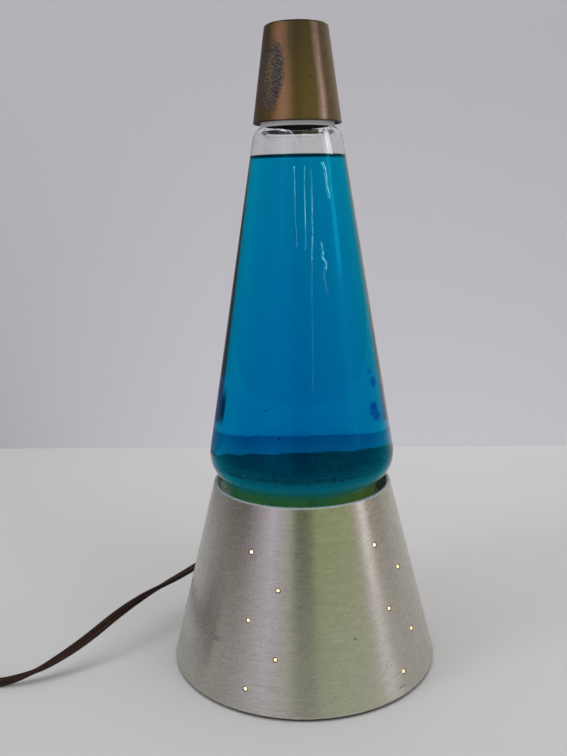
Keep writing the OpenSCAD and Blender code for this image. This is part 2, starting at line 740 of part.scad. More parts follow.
// Glass stem on the insulator, flared where it joins the neck
module bulb_stem() {
    z = screw_z0 + 1;
    flare = bulb_neck_r - bulb_t - run_gap;
    color([0.90, 0.92, 0.92])
    rotate_extrude()
        polygon([[0, z], [4, z], [flare, z + 10], [flare, z + 11], [4, z + 20], [3, z + 34], [0, z + 34]]);
}

module bulb_filament() {
    z = screw_z0 + 35;
    color([0.55, 0.55, 0.55]) {
        for (x = [-2, 2]) translate([x, 0, z]) cylinder(r = 0.4, h = 16, $fn = 16);
        translate([-9, 0, z + 16.3]) rotate([0, 90, 0]) cylinder(r = 0.5, h = 18, $fn = 16);
    }
}

module glass_bottle() {
    color([0.75, 0.85, 0.88, 0.4])
    difference() {
        bottle_skin(0);
        bottle_skin(glass_t);
        translate([0, 0, lip_z - 6]) cylinder(r = bore_r, h = 20);
    }
}

module liquid() {
    color([0.0, 0.40, 0.62, 0.7])
    intersection() {
        bottle_skin(glass_t + content_gap);
        translate([0, 0, wax_z + fit_gap]) cylinder(d = bottle_d, h = fill_z - wax_z - fit_gap);
    }
}

// Cold wax, with the channel that the heat coil lies in
heat_z = bottle_z + glass_t + punt_h + content_gap;
channel = curl_d / 2 + curl_wire_d / 2 + 0.4;
module wax() {
    color([0.02, 0.18, 0.20])
    difference() {
        intersection() {
            bottle_skin(glass_t + content_gap);
            cylinder(d = bottle_d, h = wax_z);
        }
        translate([0, 0, bottle_z])
            ring(heat_ring_d / 2 - channel, heat_ring_d / 2 + channel, heat_z - bottle_z + 2 * channel);
    }
}

// Heat coil: a spring closed into a ring on the bottom of the bottle
module heat_coil() {
    steps = 8;
    big = heat_ring_d / 2;
    small = curl_d / 2;
    lift = heat_z + small + curl_wire_d / 2;
    n = curls * steps;
    function spring_at(i) = let (a = 360 * i / n, b = 360 * i / steps)
        [(big + small * cos(b)) * cos(a), (big + small * cos(b)) * sin(a), lift + small * sin(b)];
    centres = [for (i = [0:n - 1]) spring_at(i)];
    rings = [for (i = [0:n - 1])
        let (dir = unit(spring_at(i + 1) - spring_at(i - 1)))
        let (core = [big * cos(360 * i / n), big * sin(360 * i / n), lift])
        let (out = unit(centres[i] - core))
        let (side = unit(cross(dir, out)))
        let (lead = cross(side, dir))
        [for (s = round6) centres[i] + (side * s[0] + lead * s[1]) * curl_wire_d / 2]];
    echo(least_gap_in_the_heat_coil = least_gap(rings, steps, 1));
    color([0.60, 0.58, 0.52]) skin(rings, closed = true);
}

// Rubber stopper: plug in the mouth, cup above it inside the closure
module stopper() {
    cup_r = closure_d / 2 - closure_t - run_gap;
    cup_top = closure_top_z - closure_top_t - run_gap;
    low = lip_z - stopper_drop;
    color([0.05, 0.05, 0.05])
    difference() {
        rotate_extrude()
            polygon([[0, low], [bore_r - 1, low], [bore_r - run_gap, low + 1], [bore_r - run_gap, lip_z],
                [cup_r, lip_z], [cup_r, cup_top], [0, cup_top]]);
        translate([0, 0, lip_z + 2]) cylinder(r = cup_r - 3, h = cup_top);
    }
}

module closure() {
    r = closure_d / 2;
    ceiling = closure_top_z - closure_top_t;
    color([0.88, 0.88, 0.85])
    rotate_extrude()
        polygon(concat(
            [[0, ceiling], [r - closure_t, ceiling], [r - closure_t, lip_z], [r, lip_z]],
            arc([r - 0.8, closure_top_z - 0.8], 0.8, 0, 90, 3),
            [[0, closure_top_z]]));
}

// One face of the cap's sheet, d inside its outer face, from the open end to the middle of the top
function cap_face(d) = concat(
    [[cap_low_d / 2 - d / cos(cap_a), cap_z]],
    arc([cap_top_d / 2 - cap_edge_r, cap_top_z - cap_edge_r], cap_edge_r - d, cap_a, 90, 5),
    [[0, cap_top_z - d]]);
module top_cap() {
    color([0.43, 0.33, 0.20])
    rotate_extrude() polygon(concat(cap_face(0), flip(cap_face(cap_t))));
}

base_shell();
seat_ring();
bottom_plate();
felt_ring();
socket_strap();
threaded_tube();
lock_nut();
socket_body();
socket_screw_shell();
socket_contact();
terminals();
strain_relief();
inner_lead();
cord_run();
switch_lower();
switch_upper();
switch_wheel();
switch_screws();
cord_link();
cord_coil();
coil_ties();
cord_tail();
plug_body();
plug_blades();
bulb_glass();
bulb_screw_shell();
bulb_insulator();
bulb_contact();
bulb_stem();
bulb_filament();
glass_bottle();
liquid();
wax();
heat_coil();
stopper();
closure();
top_cap();
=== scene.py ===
import math

import bmesh
import bpy
from mathutils import Matrix, Vector, noise


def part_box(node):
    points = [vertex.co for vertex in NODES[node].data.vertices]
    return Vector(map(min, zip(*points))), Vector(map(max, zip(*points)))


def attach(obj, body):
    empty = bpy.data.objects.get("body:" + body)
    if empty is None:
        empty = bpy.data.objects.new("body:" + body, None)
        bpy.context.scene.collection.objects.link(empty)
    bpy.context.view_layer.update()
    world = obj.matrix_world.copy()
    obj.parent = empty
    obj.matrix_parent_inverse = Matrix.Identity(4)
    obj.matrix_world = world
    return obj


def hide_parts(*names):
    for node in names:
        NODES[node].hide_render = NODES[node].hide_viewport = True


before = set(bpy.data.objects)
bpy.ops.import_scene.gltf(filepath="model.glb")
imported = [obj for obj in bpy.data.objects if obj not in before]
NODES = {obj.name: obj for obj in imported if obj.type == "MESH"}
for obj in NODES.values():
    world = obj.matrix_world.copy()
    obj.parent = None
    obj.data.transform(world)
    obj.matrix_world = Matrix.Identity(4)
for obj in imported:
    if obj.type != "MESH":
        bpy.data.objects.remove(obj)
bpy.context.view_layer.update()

bl_info = {
    "name": "Liquid motion lamp",
    "version": (1, 0, 0),
    "blender": (4, 5, 0),
    "location": "3D View > Sidebar > Lamp",
    "description": "Dresses the lamp's solids: glass, liquid, wax, metals, lead and stage",
    "category": "Object",
}

MM = 0.001

# Painted highlights on the glass, given off as light: glints along scratches, and shines for windows and lamps mirrored
# in it; bearing and height in mm of both ends, half width in mm, strength
SCRATCH_GLINTS = [
    (-5.4, 345.2, -5.4, 344.2, 0.30, 0.9), (-5.4, 344.7, -5.0, 327.7, 0.17, 0.55), (-5.0, 327.7, -4.6, 316, 0.17, 0.36),
    (-4.6, 316, -3.1, 295.9, 0.16, 0.26), (5.6, 346, 5.4, 338, 0.17, 0.55), (5.4, 338, 4.8, 325.3, 0.17, 0.65),
    (4.8, 325.3, 4.9, 310, 0.19, 0.85), (4.9, 310, 4.2, 292.9, 0.16, 0.35), (13.3, 343.6, 12.7, 332, 0.16, 0.30),
    (12.7, 332, 12.0, 318, 0.19, 0.70), (12.0, 318, 11.2, 303, 0.18, 0.60), (11.2, 303, 9.7, 287.3, 0.18, 0.70),
    (9.7, 287.3, 8.1, 264, 0.18, 0.14), (8.1, 264, 6.8, 205, 0.18, 0.07), (27.9, 347.6, 30.2, 344.3, 0.50, 1.0),
    (30.2, 344.3, 30.8, 333.9, 0.38, 1.0), (30.8, 333.9, 32.0, 325.9, 0.34, 0.95), (19.3, 299, 20.2, 292.7, 0.24, 0.75),
    (20.2, 292.7, 19.6, 289.0, 0.24, 0.90), (19.6, 289.0, 22.5, 286.5, 0.27, 1.0),
    (22.5, 286.5, 21.5, 282.2, 0.26, 0.80), (21.5, 282.2, 19.5, 278.5, 0.34, 0.22),
    (19.5, 278.5, 21.1, 268.0, 0.80, 0.05),
]
SHINES = [
    (38.3, 367.6, 40.6, 354, 1.9, 0.80), (39.8, 351, 37.8, 334, 1.5, 0.13), (-29.0, 368.6, -19.0, 367.6, 0.62, 0.60),
    (-15.0, 368.0, -8.2, 365.6, 0.17, 0.70), (-8.2, 365.6, -3.2, 361.7, 0.17, 0.65),
    (-3.2, 361.7, 0.3, 355.7, 0.15, 0.50), (4.7, 364.9, 14.7, 364.5, 0.18, 0.75),
    (14.7, 364.5, 22.5, 362.7, 0.17, 0.60),
]

# Stains on the glass, nicks in the base and pits in the cap:
# bearing, height in mm, half width in degrees, half height in mm, strength
STAINS = [(59.0, 206.5, 4.8, 5.0, 0.75), (55.5, 214, 4.0, 3.2, 0.40), (55.0, 190.5, 5.4, 4.2, 0.90),
          (57.5, 184.5, 6.0, 4.4, 0.85), (52.0, 187, 3.4, 2.2, 0.6)]
DARK_STAINS = [(-66.5, 190, 3.4, 13.0, 0.9), (-24.5, 194, 1.0, 0.8, 0.6), (-15.0, 177, 0.9, 0.8, 0.6),
               (-22.0, 196, 0.6, 0.6, 0.4)]
NICKS = [(22.0, 48, 0.7, 0.9, 0.9), (36.0, 25, 0.35, 3.5, 0.5), (43.0, 8, 2.6, 0.5, 0.7), (-44.5, 41, 3.0, 2.2, 0.35),
         (-41.0, 52, 0.5, 0.7, 0.5), (9.0, 12, 0.6, 0.5, 0.5)]
PITS = [(18.0, 399.6, 1.5, 0.9, 1.0), (49.0, 414.7, 1.4, 0.8, 1.0), (44.0, 428, 1.0, 0.6, 0.7),
        (-33, 383.5, 1.4, 0.7, 0.8), (-8.0, 386, 1.0, 0.5, 0.6), (-58, 391, 3.0, 1.6, 0.6)]

# The cap's tones, darker near its top than near its open end, with painted shade towards its left side and a painted
# sheen towards its right side
CAP_HIGH, CAP_LOW = (0.082, 0.056, 0.023), (0.148, 0.097, 0.026)
CAP_LEFT_SHADE, CAP_RIGHT_SHEEN = (0.080, 0.054, 0.030), (0.190, 0.130, 0.082)
# Painted highlights on the cap, as bands of light: bearing, half width and strength, each near its top and near its
# open end, then the colour
CAP_GLINTS = [(-34, -22, 22, 16, 0.92, 0.88, (0.36, 0.19, 0.09)), (30, 34.5, 9, 9, 0.48, 0.80, (0.42, 0.29, 0.23))]
# Patch of corrosion on the cap: centre and half sizes in mm, and its lean
PATCH_X, PATCH_Z, PATCH_HALF_W, PATCH_HALF_H, PATCH_LEAN = -15.92, 400.8, 7.2, 21.8, -0.10

GLASS_IOR, LIQUID_IOR = 1.5, 1.34
DEGREE_MM = 0.6  # one degree of bearing on the bottle's neck, in mm

# What the metals mirror. Walls of the room: bearing, half width and soft edge in degrees, colour, laid one over another
ROOM = (0.50, 0.46, 0.46)
ROOM_WALLS = [
    (92, 40, 37, (0.43, 0.36, 0.26)), (-86, 31, 37, (0.08, 0.05, 0.04)), (7, 45, 18, (0.34, 0.41, 0.16)),
    (-37, 0, 34, (0.68, 0.59, 0.80)), (-1, 7, 7, (0.09, 0.11, 0.03)), (73, 0, 12, (0.83, 0.75, 0.78)),
]
# Bright windows: bearing, half width, lowest and highest slope of the view, colour
ROOM_WINDOWS = [(76, 5, 0.14, 0.42, (3.0, 2.9, 3.1)), (-37, 1.5, 0.22, 0.46, (1.8, 1.7, 2.0))]

# Camera: place to the side in metres, pitch in degrees, shift of its picture
CAMERA_X, CAMERA_PITCH, CAMERA_SHIFT = -0.0153, 12.0, 0.0065

# Soft lamps: name, place, target, size in metres, power in watts, colour
SOFT_LAMPS = [
    ("lamp_over", (0.1, -0.1, 1.7), (0, 0, 0.1), (1.4, 1.4), 14, (1.0, 0.99, 0.98)),
    ("lamp_left", (-1.25, -0.75, 0.75), (0, 0, 0.2), (0.5, 1.2), 7, (0.97, 0.96, 1.0)),
    ("lamp_right", (1.05, -1.0, 0.8), (0, 0, 0.2), (0.6, 1.2), 5, (1.0, 0.96, 0.97)),
]


# Outlines, in millimetres: (radius, height)

def arc(centre, radius, start, end, steps=8):
    """Points on a circle from one angle to another, in degrees."""
    points = []
    for i in range(steps + 1):
        angle = math.radians(start + (end - start) * i / steps)
        points.append((centre[0] + radius * math.cos(angle), centre[1] + radius * math.sin(angle)))
    return points


def tangent_angle(low, low_radius, high, high_radius):
    """Direction of the line that touches two circles on their outer side, in degrees."""
    dx, dz = low[0] - high[0], low[1] - high[1]
    lean = math.acos((high_radius - low_radius) / math.hypot(dx, dz))
    return math.degrees(lean + math.atan2(dz, dx))


BASE_H, FOOT_R, RIM_R = 131.8, 94.2, 62.4
SHEET, CORNER_R, FOLD_R, FLANGE_Z, FLANGE_W, HEM_H = 1.2, 2.0, 1.5, 0.8, 12.0, 5.0
CORNER = (FOOT_R - CORNER_R, FLANGE_Z + CORNER_R)
FOLD = (RIM_R - FOLD_R, BASE_H - FOLD_R)
WALL_LEAN = tangent_angle(CORNER, CORNER_R, FOLD, FOLD_R)
# Pinholes: columns and rows, the first row's height and the rows' pitch, the first column's bearing, the zigzag's width
COLUMNS, ROWS, ROW_LOW, ROW_PITCH, FIRST_COLUMN, ZIGZAG = 5, 5, 16.5, 21.3, -104, 20
PINHOLE = [(1.0, -4), (1.0, -0.35), (1.8, 0), (2.6, 0.4)]  # radius and height over the wall
LIT_FOOT, LIT_TOP = 12.0, 110.0  # heights between which the holes glow with painted bulb light
SEAT_TOP, SEAT_HOLE_R, SEAT_T, SEAT_BEND_R, SEAT_DISH_R = 113.6, 38.0, 0.8, 0.7, 2.5
BOTTLE_Z, LIP_Z = 113.9, 371.1
BELLY, BELLY_R = (43.3, 152.2), 21.0
SHOULDER, SHOULDER_R = (18.8, 361.9), 11.0
HEEL, HEEL_R = (45.5, 117.9), 4.0
PUSH_UP, PUSH_UP_R, STAND_R = 2.5, 33.5, 40.0
GLASS_T, WAIST_R, WAIST_TURN, NECK_TURN = 3.0, 3.0, -55, 54
BORE_R, FILL_Z, WAX_Z = 21.5, 352.9, 150.3
CAP_Z, CAP_TOP, CAP_LOW_R, CAP_TOP_R, CAP_T, CAP_EDGE_R = 373.6, 434.1, 29.0, 20.8, 1.0, 2.0
CLOSURE_R, CLOSURE_T, STOPPER_DROP = 24.3, 1.6, 2.4


def shell_radius(z):
    """Radius of the base's outer wall at a height."""
    lean = math.radians(WALL_LEAN)
    return CORNER[0] + (CORNER_R - (z - CORNER[1]) * math.sin(lean)) / math.cos(lean)


def shell_outline(inset):
    """One face of the base's sheet, from the flange under it to the hem inside the rim."""
    wall = [(shell_radius(z) - inset / math.cos(math.radians(WALL_LEAN)), z) for z in range(8, 128, 8)]
    return ([(FOOT_R - FLANGE_W, FLANGE_Z + inset)]
            + arc(CORNER, CORNER_R - inset, -90, WALL_LEAN, 8)
            + wall
            + arc(FOLD, FOLD_R - inset, WALL_LEAN, 180, 12)
            + [(FOLD[0] - FOLD_R + inset, FOLD[1] - HEM_H)])


def seat_outline(inset):
    """One face of the seat's sheet, from the top of its collar to the lip of the light hole."""
    collar = FOLD[0] - FOLD_R + SHEET + 0.1 + SEAT_T
    dish = (collar - SEAT_DISH_R, SEAT_TOP - SEAT_T + SEAT_DISH_R)
    bend = (SEAT_HOLE_R + SEAT_T + SEAT_BEND_R, SEAT_TOP - SEAT_T - SEAT_BEND_R)
    return ([(collar - inset, BASE_H - FOLD_R - 2)]
            + arc(dish, SEAT_DISH_R - inset, 0, -90, 6)
            + arc(bend, SEAT_BEND_R + inset, 90, 180, 6)
            + [(SEAT_HOLE_R + SEAT_T - inset, bend[1] - 4)])


def bottle_outline(inset):
    """One face of the bottle's wall, from the middle of its bottom to its lip."""
    low = arc(BELLY, BELLY_R + WAIST_R, WAIST_TURN, WAIST_TURN, 1)[0]
    foot_lean = tangent_angle(HEEL, HEEL_R, low, -WAIST_R)
    lean = tangent_angle(BELLY, BELLY_R, SHOULDER, SHOULDER_R)
    floor = BOTTLE_Z + PUSH_UP + inset
    return ([(0, floor), (PUSH_UP_R, floor), (STAND_R, BOTTLE_Z + inset)]
            + arc(HEEL, HEEL_R - inset, -90, foot_lean, 8)
            + arc(low, -(WAIST_R + inset), foot_lean, WAIST_TURN, 8)
            + arc(BELLY, BELLY_R - inset, WAIST_TURN, lean, 24)
            + arc(SHOULDER, SHOULDER_R - inset, lean, NECK_TURN, 16))


def cap_outline(inset):
    """One face of the cap's sheet, from its open end to the middle of its top."""
    edge = (CAP_TOP_R - CAP_EDGE_R, CAP_TOP - CAP_EDGE_R)
    lean = tangent_angle((CAP_LOW_R, CAP_Z), 0, edge, CAP_EDGE_R)
    return ([(CAP_LOW_R - inset / math.cos(math.radians(lean)), CAP_Z)]
            + arc(edge, CAP_EDGE_R - inset, lean, 90, 8)
            + [(0, CAP_TOP - inset)])


# Meshes

def mark_edges(bm, angle=32):
    """Smooth faces with hard edges wherever the surface turns sharply."""
    for face in bm.faces:
        face.smooth = True
    for edge in bm.edges:
        edge.smooth = not (len(edge.link_faces) == 2 and edge.calc_face_angle() > math.radians(angle))


def object_of(name, bm, *looks):
    """Object from a bmesh, in the scene, with its materials."""
    mesh = bpy.data.meshes.new(name)
    bm.to_mesh(mesh)
    bm.free()
    for look in looks:
        mesh.materials.append(look)
    obj = bpy.data.objects.new(name, mesh)
    bpy.context.scene.collection.objects.link(obj)
    return obj


def dress(obj, body, node):
    """Lets an object ride on a body, in place of a solid, which is hidden."""
    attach(obj, body)
    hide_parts(node)
    return obj


def piece(name, bm, body, looks, node):
    """Object from a bmesh that rides on a body in place of a solid."""
    return dress(object_of(name, bm, *looks), body, node)


def finish(name, look):
    """Gives a solid that stays as it is its material."""
    NODES[name].data.materials.clear()
    NODES[name].data.materials.append(look)


def spun(outline, steps=160):
    """Closed ring-shaped or solid skin: an outline in mm turned once round the axis."""
    bm = bmesh.new()
    verts = [bm.verts.new((r * MM, 0, z * MM)) for r, z in outline]
    edges = [bm.edges.new((verts[i], verts[i + 1])) for i in range(len(verts) - 1)]
    if outline[0][0] > 0 or outline[-1][0] > 0:
        edges.append(bm.edges.new((verts[-1], verts[0])))
    bmesh.ops.spin(bm, geom=verts + edges, cent=(0, 0, 0), axis=(0, 0, 1), dvec=(0, 0, 0),
                   angle=2 * math.pi, steps=steps, use_merge=True, use_duplicate=False)
    bmesh.ops.remove_doubles(bm, verts=bm.verts, dist=1e-7)
    bmesh.ops.recalc_face_normals(bm, faces=bm.faces)
    mark_edges(bm)
    return bm


# Materials

def shader(name):
    """New material with a Principled shader; returns the material, its tree and the shader."""
    look = bpy.data.materials.new(name)
    look.use_nodes = True
    tree = look.node_tree
    return look, tree, tree.nodes["Principled BSDF"]


def feed(tree, node, inputs):
    """Gives a node its inputs: a socket is linked, and a plain value is set."""
    for key, value in inputs.items():
        if isinstance(value, bpy.types.NodeSocket):
            tree.links.new(value, node.inputs[key])
        else:
            node.inputs[key].default_value = (*value, 1) if is_colour(value, node.inputs[key]) else value


def is_colour(value, socket):
    """Whether a value is three numbers for a socket that takes a colour."""
    return socket.type == "RGBA" and len(value) == 3


def add(tree, kind, inputs=None, **settings):
    """New node, with its settings and its inputs."""
    node = tree.nodes.new(kind)
    for key, value in settings.items():
        setattr(node, key, value)
    feed(tree, node, inputs or {})
    return node


def shown(tree, surface, output="Material Output"):
    """Links a shader to the material's or the world's surface."""
    tree.links.new(surface, tree.nodes[output].inputs["Surface"])


def over(tree, share, below, above):
    """Mix of two shaders: the share of the second that covers the first."""
    return add(tree, "ShaderNodeMixShader", {0: share, 1: below, 2: above}).outputs[0]


def object_place(tree, scale=(1, 1, 1)):
    """Object coordinates, stretched."""
    coords = add(tree, "ShaderNodeTexCoord")
    return add(tree, "ShaderNodeMapping", {"Vector": coords.outputs["Object"], "Scale": scale}).outputs["Vector"]


def split_place(tree):
    """X, Y and Z of the object coordinates."""
    coords = add(tree, "ShaderNodeTexCoord").outputs["Object"]
    return add(tree, "ShaderNodeSeparateXYZ", {"Vector": coords}).outputs


def bearing_of(tree):
    """Bearing about the axis in degrees, 0 at the front and positive to the right, and the height."""
    x, y, z = split_place(tree)
    return maths(tree, "DEGREES", maths(tree, "ARCTAN2", x, times(tree, y, -1.0))), z


def facing_of(tree):
    """0 where the surface is seen square on, 1 where it turns away."""
    return add(tree, "ShaderNodeLayerWeight", {"Blend": 0.5}).outputs["Facing"]


def noise_of(tree, place, scale, detail=3, roughness=0.5):
    """Noise value over a place."""
    return add(tree, "ShaderNodeTexNoise",
               {"Vector": place, "Scale": scale, "Detail": detail, "Roughness": roughness}).outputs["Fac"]


def ramp(tree, value, stops):
    """Colour ramp of (position, colour) stops."""
    node = add(tree, "ShaderNodeValToRGB", {"Fac": value})
    elements = node.color_ramp.elements
    while len(elements) < len(stops):
        elements.new(0.5)
    for element, (position, colour) in zip(elements, stops):
        element.position = position
        element.color = (*colour, 1)
    return node.outputs["Color"]


def mixed(tree, factor, first, second, blend="MIX"):
    """Mix of two colours, each a socket or a value."""
    return add(tree, "ShaderNodeMix", {0: factor, 6: first, 7: second}, data_type="RGBA", blend_type=blend).outputs[2]


def maths(tree, operation, first, second=0.0, third=0.0):
    """Math node of one operation."""
    return add(tree, "ShaderNodeMath", {0: first, 1: second, 2: third}, operation=operation).outputs[0]


def plus(tree, first, second):
    """Sum of two values."""
    return maths(tree, "ADD", first, second)


def minus(tree, first, second):
    """Difference of two values."""
    return maths(tree, "SUBTRACT", first, second)


def times(tree, first, second):
    """Product of two values."""
    return maths(tree, "MULTIPLY", first, second)


def apart(tree, first, second):
    """How far two values are apart."""
    return maths(tree, "ABSOLUTE", minus(tree, first, second))


def fitted(tree, value, low, high, to_low=0.0, to_high=1.0):
    """Value moved from one range to another, clamped."""
    return add(tree, "ShaderNodeMapRange", {"Value": value, "From Min": low, "From Max": high,
               "To Min": to_low, "To Max": to_high}).outputs["Result"]


def bumped(tree, height, distance, strength=1.0):
    """Normal of a surface with a fine relief."""
    return add(tree, "ShaderNodeBump",
               {"Height": height, "Distance": distance, "Strength": strength}).outputs["Normal"]


def shaken(tree, noise, depth):
    """Noise value moved to lie evenly about nought."""
    return times(tree, minus(tree, noise, 0.5), depth)


def tinted(colour, factor):
    """Colour made darker or lighter, never over white."""
    return tuple(min(1, c * factor) for c in colour)


def plain_look(name, colour, rough=0.5, metal=0.0, speckle=0.15, grain=400.0, bump=0.00003, coat=0.0, shine=0.5):
    """Moulded, painted or plain metal surface with a fine uneven grain."""
    look, tree, bsdf = shader(name)
    place = object_place(tree)
    fine = noise_of(tree, place, grain, 3)
    broad = noise_of(tree, place, 38, 2)
    shade = plus(tree, times(tree, fine, 0.5), times(tree, broad, 0.5))
    dark, light = tinted(colour, 1 - speckle), tinted(colour, 1 + speckle)
    feed(tree, bsdf, {
        "Base Color": mixed(tree, fitted(tree, shade, 0.35, 0.65), dark, light),
        "Roughness": fitted(tree, broad, 0.3, 0.7, rough * 0.85, min(1, rough * 1.15)),
        "Metallic": metal, "Coat Weight": coat, "Specular IOR Level": shine,
        "Normal": bumped(tree, fine, bump),
    })
    return look


def spun_sheen(tree, bsdf, strength):
    """Stretches the reflections of sheet that was turned on a lathe."""
    tangent = add(tree, "ShaderNodeTangent", direction_type="RADIAL", axis="Z").outputs["Tangent"]
    feed(tree, bsdf, {"Anisotropic": strength, "Anisotropic Rotation": 0.25, "Tangent": tangent})


def strokes(tree, around, height, slant, long, across, detail):
    """Noise drawn out into strokes: their slant in degrees, and how close they lie along and across it."""
    lean = math.radians(slant)
    along = maths(tree, "MULTIPLY_ADD", around, long * math.cos(lean), times(tree, height, long * math.sin(lean)))
    off = maths(tree, "MULTIPLY_ADD", height, across * math.cos(lean), times(tree, around, -across * math.sin(lean)))
    place = add(tree, "ShaderNodeCombineXYZ", {0: along, 1: float(slant), 2: off}).outputs["Vector"]
    return noise_of(tree, place, 1.0, detail, 0.55)


def brushed_aluminium(name, tint):
    """Sheet brushed round the axis in short slanting strokes, with soft stains, a few nicks, a painted highlight along
    its lip and a painted shadow at its foot.
    """
    look, tree, bsdf = shader(name)
    bearing, height = bearing_of(tree)
    around = times(tree, bearing, 0.0014)
    grain = 0.0
    for slant, long, across, detail in ((6, 95, 1500, 2), (20, 130, 1600, 2), (0, 25, 2900, 3)):
        grain = maths(tree, "MULTIPLY_ADD", strokes(tree, around, height, slant, long, across, detail), 1 / 3, grain)
    stain = noise_of(tree, object_place(tree, (1, 1, 0.5)), 22, 4, 0.6)
    shade = mixed(tree, fitted(tree, grain, 0.38, 0.62), tinted(tint, 0.82), tinted(tint, 1.16))
    shade = mixed(tree, fitted(tree, stain, 0.55, 0.80, 0, 0.2), shade, (0.40, 0.37, 0.34))
    shade = mixed(tree, spots(tree, NICKS), shade, (0.10, 0.085, 0.075))
    # Painted highlight: a pale bluish line along the rolled lip, less metallic than the wall
    lip = fitted(tree, height, (BASE_H - 1.1) * MM, (BASE_H - 0.7) * MM)
    shade = mixed(tree, lip, shade, (0.44, 0.51, 0.54))
    # Painted shadow: the lowest millimetres of the sheet turn near black, for the gap under the base
    foot = fitted(tree, height, 2.6 * MM, 1.8 * MM, 0, 0.95)
    feed(tree, bsdf, {
        "Base Color": mixed(tree, foot, shade, (0.01, 0.01, 0.01)),
        "Roughness": fitted(tree, grain, 0.36, 0.64, 0.23, 0.31),
        "Metallic": fitted(tree, lip, 0, 1, 1.0, 0.35),
        "Normal": bumped(tree, grain, 0.00007, 0.8),
    })
    spun_sheen(tree, bsdf, 0.85)
    return look


def clear_glass(name, tint, ior=GLASS_IOR, shine=1.0):
    """Clear glass; shine is how much its surface mirrors when seen square on."""
    look, tree, bsdf = shader(name)
    feed(tree, bsdf, {"Base Color": tint, "Transmission Weight": 1.0, "Roughness": 0.0, "IOR": ior,
                      "Specular Tint": (shine,) * 3})
    return look


def seen_through(tree, tint, ior):
    """Shader that lets light through and mirrors nothing."""
    return add(tree, "ShaderNodeBsdfRefraction", {"Color": tint, "Roughness": 0.0, "IOR": ior}).outputs[0]


def wet_glass(name, square, slanting):
    """Glass with liquid behind it: its images are tinted where it is seen square on, clear where it turns away."""
    look, tree, bsdf = shader(name)
    tree.nodes.remove(bsdf)
    away = facing_of(tree)
    tint = mixed(tree, fitted(tree, away, 0.1, 0.6), square, slanting)
    tint = mixed(tree, spots(tree, STAINS), tint, (0.30, 0.32, 0.82))
    tint = mixed(tree, spots(tree, DARK_STAINS), tint, (0.06, 0.06, 0.12))
    mirror = ramp(tree, away, [(0.0, (0.01, 0.35, 0.40)), (0.42, (0.02, 0.75, 0.85)), (0.60, (0.05, 0.92, 0.98)),
                               (0.72, (0.50, 0.92, 0.95)), (0.85, (1.0, 1.0, 1.0))])
    image = add(tree, "ShaderNodeBsdfGlossy", {"Color": mirror, "Roughness": 0.0}).outputs[0]
    share = add(tree, "ShaderNodeFresnel", {"IOR": GLASS_IOR}).outputs["Fac"]
    shown(tree, over(tree, share, seen_through(tree, tint, GLASS_IOR), image))
    return look


def dry_glass(name, tint):
    """Glass of the neck: clear, and so thin in effect at the lip that it hardly bends the view of the stopper."""
    look = clear_glass(name, tint)
    tree = look.node_tree
    lip = times(tree, fitted(tree, bearing_of(tree)[1], (LIP_Z - 4.9) * MM, (LIP_Z - 3.3) * MM),
                fitted(tree, facing_of(tree), 0.70, 0.88, 1, 0))
    shown(tree, over(tree, lip, tree.nodes["Principled BSDF"].outputs[0], seen_through(tree, tint, 1.03)))
    return look


def oval_reach(tree, across, up):
    """How far out a place lies in an oval, 1 on its edge."""
    return maths(tree, "SQRT", maths(tree, "MULTIPLY_ADD", across, across, times(tree, up, up)))


def spots(tree, marks):
    """Mask of soft ovals: (bearing, height in mm, half width in degrees, half height in mm, strength)."""
    bearing, height = bearing_of(tree)
    ragged = shaken(tree, noise_of(tree, object_place(tree), 420, 3, 0.6), 0.9)
    total = 0.0
    for turn, level, wide, high, strength in marks:
        across = maths(tree, "DIVIDE", minus(tree, bearing, turn), wide)
        up = maths(tree, "DIVIDE", minus(tree, height, level * MM), high * MM)
        reach = oval_reach(tree, across, up)
        total = maths(tree, "MAXIMUM", total, fitted(tree, plus(tree, reach, ragged), 0.5, 1.0, strength, 0))
    return total


def streaked(look, lines, colour, beads=0.15):
    """Painted highlights: thin bright lines given off as light over a finished surface, each broken into beads."""
    tree = look.node_tree
    below = tree.nodes["Material Output"].inputs["Surface"].links[0].from_socket
    bearing, height = bearing_of(tree)
    shake = minus(tree, noise_of(tree, object_place(tree), 190, 2), 0.5)
    place = add(tree, "ShaderNodeCombineXYZ", {0: maths(tree, "MULTIPLY_ADD", bearing, DEGREE_MM, shake), 1: 0.0,
                                               2: maths(tree, "DIVIDE", height, MM)}).outputs["Vector"]
    total = 0.0
    for turn_a, z_a, turn_b, z_b, half, strength in lines:
        start, way = Vector((turn_a * DEGREE_MM, 0, z_a)), Vector(((turn_b - turn_a) * DEGREE_MM, 0, z_b - z_a))
        offset = add(tree, "ShaderNodeVectorMath", {0: place, 1: start}, operation="SUBTRACT").outputs["Vector"]
        along = add(tree, "ShaderNodeVectorMath", {0: offset, 1: way / way.dot(way)}, operation="DOT_PRODUCT")
        along = fitted(tree, along.outputs["Value"], 0, 1)
        foot = add(tree, "ShaderNodeVectorMath", {0: way, "Scale": along}, operation="SCALE").outputs["Vector"]
        gap = add(tree, "ShaderNodeVectorMath", {0: offset, 1: foot}, operation="DISTANCE").outputs["Value"]
        total = maths(tree, "MAXIMUM", total, fitted(tree, gap, half * 0.3, half, strength, 0))
    broken = noise_of(tree, object_place(tree, (250, 250, 620)), 1.0, 3, 0.8)
    mask = times(tree, total, fitted(tree, broken, 0.42, 0.57, beads, 1.0))
    # Painted highlight: the lines give off light of their own
    painted_highlight = add(tree, "ShaderNodeEmission", {"Color": colour, "Strength": 1.0}).outputs[0]
    shown(tree, over(tree, mask, below, painted_highlight))


